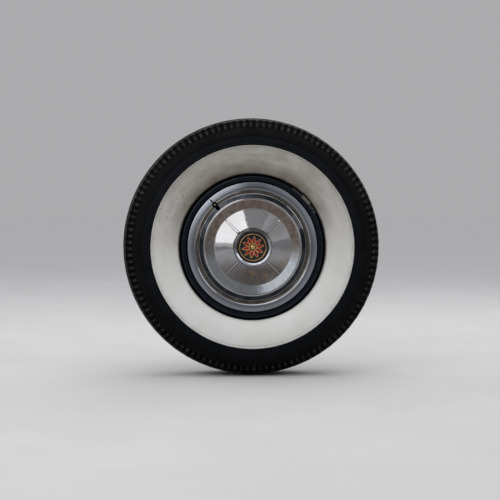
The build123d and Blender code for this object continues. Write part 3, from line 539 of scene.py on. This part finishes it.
def enamel(name, base, deep, roughness=0.1):
    """Fired enamel: two close tones, patchy gloss and a thin clear coat."""
    s = Shader(name, 0.0, roughness, Specular_IOR_Level=0.25, Coat_Weight=0.15, Coat_Roughness=0.05)
    s.colour(s.mix(s.ramp(s.noise(160.0, 4.0), 0.3, 0.75), base, deep))
    s.rough(s.ramp(s.noise(60.0, 3.0), 0.3, 0.8, roughness * 0.7, roughness * 2.2))
    s.normal(s.bump(s.noise(240.0, 3.0), 0.05, 0.0004))
    return s.material


materials = {
    "tyre": black_rubber("tyre_rubber"),
    "white_rubber": white_rubber("white_sidewall"),
    "polished_cover": polished_cover("polished_stainless"),
    "black_paint": metal("gloss_black_paint", (0.003, 0.0035, 0.005), (0.005, 0.006, 0.009), 0.12,
                         spread=0.05, scale=40.0, bump=0.04, metallic=0.0, Specular_IOR_Level=0.2,
                         Coat_Weight=0.03, Coat_Roughness=0.06, Specular_Tint=(0.62, 0.8, 1.0, 1.0)),
    "chassis_paint": weathered("support_black", (0.022, 0.022, 0.024), (0.075, 0.068, 0.058),
                               (0.13, 0.055, 0.022), 0.40, rusted=0.55, dusted=0.4),
    "plate_paint": weathered("plate_black", (0.016, 0.016, 0.018), (0.105, 0.094, 0.078),
                             (0.15, 0.062, 0.025), 0.50, rusted=0.5, dusted=0.75),
    "bezel_chrome": dulled_chrome("bezel_chrome"),
    "medallion_enamel": enamel("black_enamel", (0.004, 0.004, 0.005), (0.010, 0.010, 0.013)),
    "red_enamel": enamel("red_enamel", (0.30, 0.012, 0.012), (0.12, 0.005, 0.006), 0.12),
    "gold": metal("gold_trim", (0.62, 0.40, 0.16), (0.42, 0.25, 0.09), 0.2,
                  spread=0.08, scale=120.0, bump=0.2),
    "valve_rubber": metal("valve_rubber", (0.010, 0.010, 0.011), (0.022, 0.021, 0.020), 0.55,
                          spread=0.12, scale=90.0, bump=0.2, metallic=0.0),
    "brass": metal("valve_brass", (0.34, 0.29, 0.20), (0.15, 0.12, 0.085), 0.42,
                   spread=0.1, scale=300.0, bump=0.3),
    "lead": metal("dull_lead", (0.014, 0.015, 0.018), (0.05, 0.05, 0.055), 0.34,
                  spread=0.12, scale=130.0, bump=0.35, metallic=0.5),
    "spring_steel": metal("spring_steel", (0.10, 0.10, 0.11), (0.20, 0.19, 0.18), 0.35,
                          spread=0.12, scale=90.0, bump=0.2),
    "drum_iron": weathered("cast_iron", (0.070, 0.062, 0.056), (0.12, 0.10, 0.085),
                           (0.19, 0.080, 0.032), 0.62, rusted=0.95, dusted=0.4, metallic=0.4),
    "forged_steel": weathered("forged_steel", (0.085, 0.080, 0.075), (0.115, 0.10, 0.085),
                              (0.15, 0.070, 0.032), 0.46, rusted=0.7, dusted=0.35, metallic=0.6),
    "bolt_steel": metal("bolt_steel", (0.33, 0.33, 0.32), (0.19, 0.165, 0.13), 0.34,
                        spread=0.12, scale=110.0, bump=0.25),
    "ground_steel": metal("ground_steel", (0.52, 0.52, 0.53), (0.40, 0.39, 0.37), 0.2,
                          spread=0.08, scale=160.0, bump=0.1),
    "bronze": metal("bronze", (0.50, 0.33, 0.17), (0.34, 0.21, 0.10), 0.33,
                    spread=0.1, scale=120.0, bump=0.2),
}

slot_nodes = {
    "tyre": ("tyre",),
    "white_rubber": ("whitewall",),
    "black_paint": ("rim", "wheel_disc"),
    "polished_cover": ("wheel_cover",),
    "spring_steel": ("cover_ring", "weight_clip"),
    "bezel_chrome": ("medallion_bezel",),
    "medallion_enamel": ("medallion",),
    "valve_rubber": ("valve_stem", "grease_seal"),
    "brass": ("valve_tip",),
    "lead": ("balance_weight",),
    "drum_iron": ("brake_drum", "hub"),
    "plate_paint": ("backing_plate",),
    "chassis_paint": ("knuckle_support",),
    "forged_steel": ("steering_knuckle", "steering_arm"),
    "bolt_steel": ("plate_bolts", "anchor_pin", "bleed_screw", "hose_inlet", "wheel_studs",
                   "wheel_nuts", "kingpin_plugs", "spindle_nut", "grease_cap"),
    "ground_steel": ("kingpin", "lock_pin", "thrust_bearing", "inner_bearing", "outer_bearing"),
    "bronze": ("kingpin_bushings", "lower_bushing", "upper_bushing"),
}
node_slots = {node: slot for slot, names in slot_nodes.items() for node in names}
for name, node in nodes.items():
    node.data.materials.clear()
    node.data.materials.append(materials[node_slots[name]])


# ---- forged pieces whose edges are rounded in the metal ----

def baked(piece):
    """The piece's mesh with its modifiers applied."""
    bpy.context.view_layer.update()
    evaluated = piece.evaluated_get(bpy.context.evaluated_depsgraph_get())
    return bpy.data.meshes.new_from_object(evaluated)


def softened(node_name, width):
    """The node's own shape with its sharp edges rounded by width millimetres."""
    mesh = nodes[node_name].data.copy()
    shaped = bmesh.new()
    shaped.from_mesh(mesh)
    bmesh.ops.remove_doubles(shaped, verts=shaped.verts, dist=0.01 * MM)
    bmesh.ops.dissolve_limit(shaped, angle_limit=radians(0.6), verts=shaped.verts, edges=shaped.edges)
    for face in shaped.faces:
        face.smooth = True
    for edge in shaped.edges:
        edge.smooth = True
    shaped.to_mesh(mesh)
    shaped.free()
    piece = bpy.data.objects.new(f"{node_name}_softened", mesh)
    bpy.context.scene.collection.objects.link(piece)
    rounding = piece.modifiers.new("rounding", "BEVEL")
    rounding.width = width * MM
    rounding.segments = 3
    rounding.limit_method = "ANGLE"
    rounding.angle_limit = radians(32)
    weighting = piece.modifiers.new("weighting", "WEIGHTED_NORMAL")
    weighting.keep_sharp = True
    piece.data = baked(piece)
    piece.modifiers.clear()
    body = next(b for b, names in frame["record"]["behaviour"]["bodies"].items() if node_name in names)
    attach(piece, body)
    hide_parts(node_name)


for name, width in (("knuckle_support", 2.2), ("steering_knuckle", 1.6), ("steering_arm", 2.0)):
    softened(name, width)


# ---- tyre walls: both sides from the bead to the ledge below the shoulder ----

def seat_at(y):
    """Radius of the rim's tapered seat."""
    return seat_inner_r + (rim_seat_r - seat_inner_r) * (seat_from - y) / (seat_from + rim_half)


def banded_face():
    """Outboard side from the bead outwards, with the white band's recess and a rib round it."""
    face = [side_at(bead_r), side_at(white_inner_r - 0.7), side_at(white_inner_r - 0.2)]
    face += [side_at(white_inner_r, white_depth * k / 2) for k in (1, 2)]
    steps = 20
    floor = [white_inner_r + (white_outer_r - white_inner_r) * k / steps for k in range(1, steps)]
    face += [side_at(r, white_depth) for r in floor]
    face += [side_at(white_outer_r, white_depth * k / 2) for k in (2, 1)]
    rib = ((0.2, 0.2), (1.0, 0.7), (2.6, 0.7), (3.6, 0.0))
    return face + [side_at(white_outer_r + beyond, -rise) for beyond, rise in rib]


def ribbed_face():
    """Inboard side from the bead outwards, with fine raised ribs, each a radius, half width and height."""
    ribs = ((219.0, 1.4, 0.8), (224.0, 1.4, 0.8), (251.0, 1.0, 0.45), (297.0, 1.6, 0.7))
    face_end_r, steps = 303.0, 80
    face = []
    for k in range(steps + 1):
        r = bead_r + (face_end_r - bead_r) * k / steps
        lift = sum(height * max(0.0, 1 - ((r - middle) / half) ** 2) for middle, half, height in ribs)
        face.append(side_at(r, -lift))
    return face


def wall_outline(face):
    """Closed outline of one wall: outer face, ledge at the tread's edge, the hollow and the bead's heel."""
    ledge = ((321.8, 0.5), (322.6, 0.9), (323.6, 0.9), (324.3, 0.4), (seam_r, 0.0))
    outside = [side_at(r) for r in (306, 310, 314, 318, 321)]
    outside += [side_at(r, inset) for r, inset in ledge]
    lining = [side_at(seam_r, 8.5), side_at(310, 8.0), side_at(widest_r, 7.0), side_at(250, 7.5),
              side_at(bead_r + 14, 10.5), (seat_inner_r + 12, seat_from - 8), (seat_at(-56) + 0.3, -56)]
    heel = [(seat_at(-69.2) + 0.3, -69.2), (rim_seat_r + 7, -rim_half + 0.3),
            (bead_r - 5, -rim_half + 0.3), (bead_r - 1.2, -rim_half - 4.5)]
    return face + outside + resample(lining, 6.0) + heel


walls = (("tyre_wall_outboard", 1, banded_face()), ("tyre_wall_inboard", -1, ribbed_face()))
for side_name, flip, face in walls:
    outline = [(r, y * flip) for r, y in wall_outline(face)]
    wall = lathe(side_name, "wheel", "tyre", outline, columns=360, sharp=40.0)
    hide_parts("tyre")


# ---- rim: rolled section from lip to lip, with the valve's hole ----

rim_sheet = 3.2
lip_r, lip_end_r, lip_y = 209.7, 203.0, 92.0
well_r, well_from, well_to, seat_to = 168.0, -44.0, 8.0, 24.0
rim_path = [
    (lip_end_r, -lip_y), (lip_r, -lip_y), (lip_r, -rim_half), (rim_seat_r, -rim_half),
    (seat_inner_r, seat_from), (well_r, well_from), (well_r, well_to), (seat_inner_r, seat_to),
    (seat_inner_r, -seat_from), (rim_seat_r, rim_half), (lip_r, rim_half), (lip_r, lip_y), (lip_end_r, lip_y),
]
rim_radii = [6, 7.5, 5.4, 5, 6, 6, 5, 5, 5.4, 7.5, 6]

# the valve's hole in the rim: its place round the axle, its radius, and the (r, y) point that it faces
valve_angle = radians(131.7)
valve_along = Vector((cos(valve_angle), 0, sin(valve_angle)))
valve_across = Vector((-sin(valve_angle), 0, cos(valve_angle)))
valve_hole_r = 6.0
valve_outer = (166.0, -90.0)


def cut_by(piece, verts, faces):
    """Takes the closed shape away from the piece."""
    mesh = bpy.data.meshes.new("cutter")
    mesh.from_pydata(verts, [], faces)
    shaped = bmesh.new()
    shaped.from_mesh(mesh)
    bmesh.ops.recalc_face_normals(shaped, faces=shaped.faces)
    shaped.to_mesh(mesh)
    shaped.free()
    cutter = bpy.data.objects.new("cutter", mesh)
    bpy.context.scene.collection.objects.link(cutter)
    cut = piece.modifiers.new("opening", "BOOLEAN")
    cut.object = cutter
    cut.operation = "DIFFERENCE"
    cut.solver = "EXACT"
    result = baked(piece)
    piece.modifiers.clear()
    piece.data = result
    bpy.data.objects.remove(cutter)


def prism(outline_a, outline_b):
    """Closed shape between two outlines with the same number of points."""
    count = len(outline_a)
    faces = [tuple(range(count)), tuple(range(count, 2 * count))]
    faces += [(k, (k + 1) % count, count + (k + 1) % count, count + k) for k in range(count)]
    return outline_a + outline_b, faces


def build_rim():
    outside = rounded(rim_path, rim_radii, 1.3)
    section = outside + shifted(outside, rim_sheet)[::-1]
    rim = lathe("rim_rolled", "wheel", "black_paint", section, columns=256, sharp=40.0)
    foot = Vector(((well_r + seat_inner_r) / 2, (well_from + seat_from) / 2))
    along = (Vector(valve_outer) - foot).normalized()
    side = Vector((-along.y, along.x))
    hole_points, reach = 28, 7.0
    rings = []
    for way in (-reach, reach):
        ring = []
        for k in range(hole_points):
            turn = 2 * pi * k / hole_points
            spot = foot + along * way + side * (valve_hole_r * cos(turn))
            beside = valve_across * (valve_hole_r * sin(turn)) * MM
            ring.append(wheel_point(spot.x, spot.y, valve_angle) + beside)
        rings.append(ring)
    cut_by(rim, *prism(*rings))
    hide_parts("rim")


build_rim()


# ---- tread: five ribs between zigzag grooves, and a notched shoulder ----

groove_depth = 8.0
notch_depth = 5.5
zigzag = 3.4
zigzag_lugs = 2.0  # lugs that one full swing of the zigzag spans
zigzag_start = 0.12

# one lug's pitch: where its columns lie, as shares of the pitch, and how deep the notch is there
lug_stations = [0.0, 0.025, 0.26, 0.475, 0.50, 0.56, 0.75, 0.94]
lug_notch = [0.12, 0.0, 0.0, 0.0, 0.12, 1.0, 1.0, 1.0]

# stations of the tread's section: radius and height of the ledge, y and notch share at the lugs' inner ends,
# and distance from a groove's middle with the groove's depth share
ledge_stations = ((seam_r, 0.0), (327.0, 0.5), (328.0, 0.9), (333.0, 1.0), (340.0, 1.0))
lug_end_stations = ((-68.0, 1.0), (-65.5, 1.0), (-63.5, 1.0), (-62.5, 0.3), (-62.0, 0.0))
groove_stations = ((-6.0, 0.0), (-4.2, 0.0), (-3.8, 0.12), (-2.6, 1.0), (0.0, 1.0), (2.6, 1.0), (3.8, 0.12),
                   (4.2, 0.0), (6.0, 0.0))
groove_middles = ((-44.0, 1.0), (-17.5, -1.0))  # with the way of their zigzag
shoulder_steps = 14
notch_from, notch_ease = 0.22, 0.08


def tread_rows():
    """Stations from the outboard ledge to the middle: r, y, notch share, groove share, way of the zigzag."""
    rows = [(*side_at(r, -height), 0.0, 0.0, 0.0) for r, height in ledge_stations]
    for index, (r, y) in enumerate(shoulder_line(shoulder_steps)):
        notch = min(1.0, max(0.0, index / shoulder_steps - notch_from) / notch_ease)
        rows.append((r, y, notch, 0.0, 0.0))
    rows += [(*crown_at(y), notch, 0.0, 0.0) for y, notch in lug_end_stations]
    for middle, sway in groove_middles:
        rows += [(*crown_at(middle + y), 0.0, depth, sway) for y, depth in groove_stations]
    return rows + [(*crown_at(y), 0.0, 0.0, 0.0) for y in (-4.0, 0.0)]


def build_tread():
    half = tread_rows()
    rows = half + [(r, -y, notch, groove, -sway) for r, y, notch, groove, sway in reversed(half[:-1])]
    foot_r, foot_y = side_at(seam_r, 8.5)
    lining = [(foot_r, -foot_y), (340, 78), (356, 62), (366, 40), (367, 0), (366, -40), (356, -62),
              (340, -78), (foot_r, foot_y)]
    normals = []
    for index in range(len(rows)):
        before, after = rows[max(index - 1, 0)], rows[min(index + 1, len(rows) - 1)]
        along = Vector((after[0] - before[0], after[1] - before[1])).normalized()
        normals.append(Vector((along.y, -along.x)))
    verts = []
    for lug in range(lug_count):
        for station, cut in zip(lug_stations, lug_notch):
            turn = lug + station
            angle = 2 * pi * turn / lug_count
            wave = abs((turn / zigzag_lugs + zigzag_start) % 1.0 - 0.5) * 4 - 1
            for (r, y, notch, groove, sway), out in zip(rows, normals):
                depth = notch * cut * notch_depth + groove * groove_depth
                verts.append(wheel_point(r - out.x * depth, y - out.y * depth + sway * wave * zigzag, angle))
            verts += [wheel_point(r, y, angle) for r, y in lining]
    faces = ring_faces(lug_count * len(lug_stations), len(rows) + len(lining))
    tread = make_piece("tyre_tread", "wheel", "tyre", verts, faces, sharp=34.0)
    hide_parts("tyre")


build_tread()


# ---- white band: two fine ribs near its edges and a shallow groove beside the outer one ----

band_gap = 0.15
band_ribs = ((219.5, 1.6, 0.7), (296.4, 1.8, 0.9), (291.6, 2.6, -0.15))
band_steps = 104


def white_outline():
    """Closed outline of the inlaid band; its outer face sinks a little at both edges."""
    face = []
    for k in range(band_steps + 1):
        r = white_inner_r + band_gap + (white_outer_r - white_inner_r - 2 * band_gap) * k / band_steps
        lift = 0.0
        for rib_r, half, rise in band_ribs:
            lift += rise * max(0.0, 1 - ((r - rib_r) / half) ** 2)
        if k in (0, band_steps):
            lift = -0.5
        face.append(side_at(r, -lift))
    back = [white_outer_r - band_gap, 280, 260, 240, white_inner_r + band_gap]
    return face + [side_at(r, white_depth - 0.05) for r in back]


band = lathe("white_band", "wheel", "white_rubber", white_outline(), columns=360, sharp=50.0)
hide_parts("whitewall")


# ---- wheel cover: one pressed sheet with four raised ribs on its cone ----

cover_sheet = 1.2
cover_inner_r = 8.0
cover_path = [
    (cover_inner_r, -106.5), (50, -106.5), (cone_inner_r, -112.5), (cone_outer_r, -92.5), (140.8, -103.0),
    (144.0, -102.2), (158, -95.0), (159.8, -88.2), (164.8, -88.6), (170.2, -92.6), (172.6, -94.2),
    (190.5, -90.2), (194.6, -80.2),
]
cover_radii = [2.5, 2.2, 3, 1.3, 1.1, 1.5, 1.5, 2.5, 1.2, 1.6, 2.4]
columns_between_ribs = 84

# a rib's section, as shares of its half width and of its height, and the radii between which it stands
rib_shape = [(-1.35, 0.0), (-1.12, 0.0), (-1.0, 0.35), (-0.8, 0.92), (-0.4, 1.0), (0.0, 1.0), (0.4, 1.0),
             (0.8, 0.92), (1.0, 0.35), (1.12, 0.0), (1.35, 0.0)]
rib_angles = [radians(a) for a in (45, 135, 225, 315)]
rib_height = 2.1
rib_from, rib_to = 57.5, 111.5


def rib_half_width(r):
    """Half the width of a rib at that radius."""
    return rib_half - rib_taper * min(max((r - cone_inner_r) / (cone_outer_r - cone_inner_r), 0.0), 1.0)


def rib_lift(r):
    """Share of the ribs' height at that radius."""
    if r < rib_from or r > rib_to:
        return 0.0
    return min(1.0, (r - rib_from) / 1.5, (rib_to - r) / 2.5)


def build_cover():
    front = rounded(cover_path, cover_radii)
    fine = []
    for start, end in zip(front, front[1:]):
        fine += divided(start, end, 3.0 if start[0] > cone_inner_r - 1 else 12.0)
    fine.append(front[-1])
    section = fine + shifted(fine, cover_sheet)[::-1]
    spots = [(across, lift, None) for across, lift in rib_shape]
    spots += [(None, 0.0, (k + 1) / (columns_between_ribs + 1)) for k in range(columns_between_ribs)]
    verts = []
    for rib_angle in rib_angles:
        for across, lift, share in spots:
            for r, y in section:
                slim = rib_half_width(r) / r
                if across is not None:
                    swing = asin(across * slim)
                else:
                    edge = asin(rib_shape[-1][0] * slim)
                    swing = edge + share * (pi / 2 - 2 * edge)
                verts.append(wheel_point(r, y - lift * rib_lift(r) * rib_height, rib_angle + swing))
    columns = len(rib_angles) * len(spots)
    faces = ring_faces(columns, len(section))
    cover = make_piece("wheel_cover_dressed", "wheel", "polished_cover", verts, faces, sharp=38.0)
    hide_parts("wheel_cover")
    return cover


def cut_slot(cover):
    """Opening for the valve: a narrow end towards the middle, a round hole and a slit beyond it."""
    narrow_r, narrow_half = 151.5, 5.8
    hole_r, hole_half = 166.5, 8.5
    narrow_end = []
    for k in range(13):
        turn = pi / 2 + pi * k / 12
        narrow_end.append((narrow_r + narrow_half * cos(turn), narrow_half * sin(turn)))
    edge = [(160.0, -5.4)]
    for k in range(15):
        turn = radians(-125 + 108 * k / 14)
        edge.append((hole_r + hole_half * cos(turn), hole_half * sin(turn)))
    edge += [(176.0, -1.9), (186.0, -1.9)]
    outline = narrow_end + edge + [(187.4, 0.0)] + [(u, -v) for u, v in reversed(edge)]
    levels = []
    for y in (-125.0, -60.0):
        level = [valve_along * u + valve_across * v + Vector((0, y, 0)) for u, v in outline]
        levels.append([centre + spot * MM for spot in level])
    cut_by(cover, *prism(*levels))


cut_slot(build_cover())


# ---- centre medallion: black enamel dome with a gold and red rosette of petals ----

medallion_r = 46.6
dome_edge_y = -114.0
dome_rise = 2.5
dome_r = (medallion_r**2 + dome_rise**2) / (2 * dome_rise)
petal_count = 10


def dome_y(r):
    """Height of the dome's surface at that radius."""
    return dome_edge_y - dome_rise + dome_r - sqrt(dome_r**2 - r**2)


dome_radii = [0.6 + (medallion_r - 0.9) * k / 30 for k in range(31)]
dome_profile = [(r, dome_y(r)) for r in dome_radii]
dome_profile += [(medallion_r, -113.6), (medallion_r, -107.0), (dome_radii[0], -107.0)]
dome = lathe("medallion_dome", "wheel", "medallion_enamel", dome_profile, columns=120, sharp=40.0)
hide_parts("medallion")

ring_r, ring_half, ring_rise, ring_sink = 38.8, 1.0, 0.75, 0.25
ring_points = 16
ring_profile = []
for k in range(ring_points):
    turn = 2 * pi * k / ring_points
    ring_profile.append((ring_r + ring_half * cos(turn), dome_y(ring_r) - ring_sink + ring_rise * sin(turn)))
lathe("medallion_ring", "wheel", "medallion_enamel", ring_profile, columns=160, sharp=60.0, finish="gold")

boss_r, boss_foot, boss_rise = 6.2, 0.4, 2.2
boss_profile = [(0.3, dome_y(0) - boss_foot - boss_rise)]
for k in range(1, 11):
    turn = pi / 2 * k / 10
    boss_profile.append((boss_r * sin(turn), dome_y(0) - boss_foot - boss_rise * cos(turn)))
boss_profile += [(boss_r + 0.2, dome_y(6) + 0.6), (0.3, dome_y(0) + 0.6)]
lathe("medallion_boss", "wheel", "medallion_enamel", boss_profile, columns=48, sharp=50.0, finish="gold")


def petal(index, name, finish, inner, outer, half_width, height, bulge):
    """Leaf-shaped raised panel on the dome, pointing away from the centre."""
    turn = 2 * pi * index / petal_count + radians(9)
    rows, cols = 14, 8
    verts = []
    for top in (True, False):
        for i in range(rows + 1):
            u = i / rows
            r_mid = inner + (outer - inner) * u
            width = half_width * (sin(pi * u**0.8) ** 0.75 if 0 < u < 1 else 0.02)
            for j in range(cols + 1):
                v = 2 * j / cols - 1
                across = width * v
                r = hypot(r_mid, across)
                swing = atan2(across, r_mid)
                lift = height + bulge * (1 - v * v) * sin(pi * u) if top else -0.6
                verts.append(wheel_point(r, dome_y(r) - lift, turn + swing))
    size = (rows + 1) * (cols + 1)
    faces = []
    for i in range(rows):
        for j in range(cols):
            a = i * (cols + 1) + j
            faces.append((a, a + 1, a + cols + 2, a + cols + 1))
            faces.append(tuple(size + k for k in (a, a + cols + 1, a + cols + 2, a + 1)))
    border = list(range(cols + 1))
    border += [i * (cols + 1) + cols for i in range(1, rows + 1)]
    border += [rows * (cols + 1) + j for j in range(cols - 1, -1, -1)]
    border += [i * (cols + 1) for i in range(rows - 1, 0, -1)]
    for a, b in zip(border, border[1:] + border[:1]):
        faces.append((a, b, size + b, size + a))
    make_piece(name, "wheel", "medallion_enamel", verts, faces, sharp=45.0, finish=finish)


petal_layers = (
    ("medallion_petal_rim", "gold", dict(inner=8.0, outer=33.5, half_width=5.6, height=0.55, bulge=0.35)),
    ("medallion_petal", "red_enamel", dict(inner=11.0, outer=31.0, half_width=3.9, height=0.95, bulge=0.55)),
)
for index in range(petal_count):
    for stem, finish, sizes in petal_layers:
        petal(index, f"{stem}_{index}", finish, **sizes)


# ---- bezel: turned ring round the medallion, whose face slopes inwards ----

bezel_line = rounded(
    [(46.9, -106.9), (46.9, -114.2), (51.4, -117.0), (54.4, -116.0), (56.0, -112.9)], [0.5, 1.3, 1.3], 0.35
)
bezel_line += [(49.8, -106.9)]
bezel = lathe("bezel_ring", "wheel", "bezel_chrome", bezel_line, columns=200, sharp=60.0)
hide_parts("medallion_bezel")


# ---- floor, backdrop, light and camera; distances in metres ----

def plain_floor(name, near_tone, far_tone):
    """Matte floor out to the horizon, in rings round the object; paler far away."""
    s = Shader(name, 0.0, 0.9, Specular_IOR_Level=0.0)
    reach = s.vector("LENGTH", s.vector("SUBTRACT", s.place, tuple(centre)))
    plain = s.mix(s.ramp(reach, 2.2, 5.5), (near_tone,) * 3, (far_tone,) * 3)
    s.colour(s.mix(s.ramp(s.noise(3.0, 4.0), 0.3, 0.7), plain, s.mix(0.04, plain, (0.0, 0.0, 0.0))))
    columns, radii = 64, (1.0, 3.0, 8.0, 25.0, 90.0)
    floor_z = centre.z - tyre_r * MM
    verts = [(centre.x, centre.y, floor_z)]
    for r in radii:
        for k in range(columns):
            turn = 2 * pi * k / columns
            verts.append((centre.x + r * cos(turn), centre.y + r * sin(turn), floor_z))
    faces = [(0, 1 + k, 1 + (k + 1) % columns) for k in range(columns)]
    for ring in range(len(radii) - 1):
        inner, outer = 1 + ring * columns, 1 + (ring + 1) * columns
        for k in range(columns):
            after = (k + 1) % columns
            faces.append((inner + k, outer + k, outer + after, inner + after))
    mesh = bpy.data.meshes.new(name)
    mesh.from_pydata(verts, [], faces)
    mesh.materials.append(s.material)
    made = bpy.data.objects.new(name, mesh)
    bpy.context.scene.collection.objects.link(made)


plain_floor("stage_floor", 0.50, 0.66)

world = bpy.data.worlds.new("studio")
bpy.context.scene.world = world
world.use_nodes = True
tree = world.node_tree
tree.nodes.clear()
world_out = tree.nodes.new("ShaderNodeOutputWorld")
direction = tree.nodes.new("ShaderNodeSeparateXYZ")
tree.links.new(tree.nodes.new("ShaderNodeTexCoord").outputs["Generated"], direction.inputs[0])


def backdrop(stops, blue):
    """Background whose slightly bluish grey follows stops of (height of the ray's direction, level)."""
    shader = tree.nodes.new("ShaderNodeBackground")
    ramp = tree.nodes.new("ShaderNodeValToRGB")
    ramp.color_ramp.elements[0].position = stops[0][0]
    ramp.color_ramp.elements[1].position = stops[-1][0]
    for position, level in stops[1:-1]:
        ramp.color_ramp.elements.new(position)
    for stop, (position, level) in zip(ramp.color_ramp.elements, stops):
        stop.color = (level, level, level * blue, 1)
    tree.links.new(direction.outputs["Z"], ramp.inputs["Fac"])
    tree.links.new(ramp.outputs["Color"], shader.inputs["Color"])
    return shader


# The first lights the object; the second is the plain backdrop that camera, polished metal and glass see
light = backdrop(((0.0, 0.20), (0.12, 0.26), (0.38, 0.36), (0.62, 0.48), (0.8, 0.8), (1.0, 0.95)), 1.03)
seen = backdrop(((0.0, 0.41), (0.16, 0.41), (0.30, 0.28), (0.46, 0.26), (0.60, 0.52), (1.0, 0.62)), 1.02)
paths = tree.nodes.new("ShaderNodeLightPath")
either = paths.outputs["Is Camera Ray"]
for ray in ("Is Glossy Ray", "Is Transmission Ray"):
    larger = tree.nodes.new("ShaderNodeMath")
    larger.operation = "MAXIMUM"
    tree.links.new(either, larger.inputs[0])
    tree.links.new(paths.outputs[ray], larger.inputs[1])
    either = larger.outputs[0]
choice = tree.nodes.new("ShaderNodeMixShader")
tree.links.new(either, choice.inputs[0])
tree.links.new(light.outputs[0], choice.inputs[1])
tree.links.new(seen.outputs[0], choice.inputs[2])
tree.links.new(choice.outputs[0], world_out.inputs[0])


def lamp(name, place, size, power, roll=0.0, aim=(0, 0, 0)):
    """Soft rectangular light; place and aim are from the wheel's centre, roll is in degrees about the aim."""
    data = bpy.data.lights.new(name, "AREA")
    data.shape = "RECTANGLE"
    data.size, data.size_y = size
    data.energy = power
    made = bpy.data.objects.new(name, data)
    bpy.context.scene.collection.objects.link(made)
    made.location = centre + Vector(place)
    aimed = (Vector(aim) - Vector(place)).to_track_quat("-Z", "Y")
    made.rotation_euler = (aimed @ Quaternion((0, 0, 1), radians(roll))).to_euler()
    made.visible_camera = False


behind_wheel = (0, 0.1, 0)
lamp("key_light", (-1.70, -2.80, 1.70), (2.9, 2.0), 26, roll=38)
lamp("key_halo", (-2.10, -2.75, 1.65), (3.4, 2.6), 16, roll=62)
lamp("front_fill", (1.9, -2.8, 1.3), (2.6, 2.0), 5, roll=20)
lamp("top_light", (0.2, -0.6, 2.9), (3.4, 2.4), 26)
lamp("fill_light", (3.2, -1.4, 1.9), (1.8, 1.8), 18)
lamp("side_light", (-3.2, -0.4, 1.9), (1.8, 1.8), 15)
lamp("back_light", (0.5, 2.4, 2.4), (2.6, 1.4), 30, aim=behind_wheel)
lamp("back_left", (-2.9, 1.9, 1.9), (2.0, 1.8), 28, aim=behind_wheel)
lamp("back_right", (2.9, 1.9, 1.9), (2.0, 1.8), 28, aim=behind_wheel)

# The camera sees the wheel's face at the photograph's angle and scale, and at its place in the frame
camera_data = bpy.data.cameras.new("camera")
camera_data.lens = 98.0
camera_data.sensor_width = 36.0
camera = bpy.data.objects.new("camera", camera_data)
bpy.context.scene.collection.objects.link(camera)
azimuth, elevation, distance = radians(-2.5), radians(1.8), 4.0
face_centre = centre + Vector((0, -lip_y, 0)) * MM
view = Vector((sin(azimuth) * cos(elevation), -cos(azimuth) * cos(elevation), sin(elevation)))
aim_point = face_centre + Vector((-0.0074, 0, -0.0085))
camera.location = face_centre + view * distance
camera.rotation_euler = (aim_point - camera.location).to_track_quat("-Z", "Y").to_euler()
bpy.context.scene.camera = camera

bpy.context.scene.view_settings.view_transform = "Standard"


def plain(box):
    """The box's two corners as lists of numbers."""
    return [[float(value) for value in corner] for corner in box]
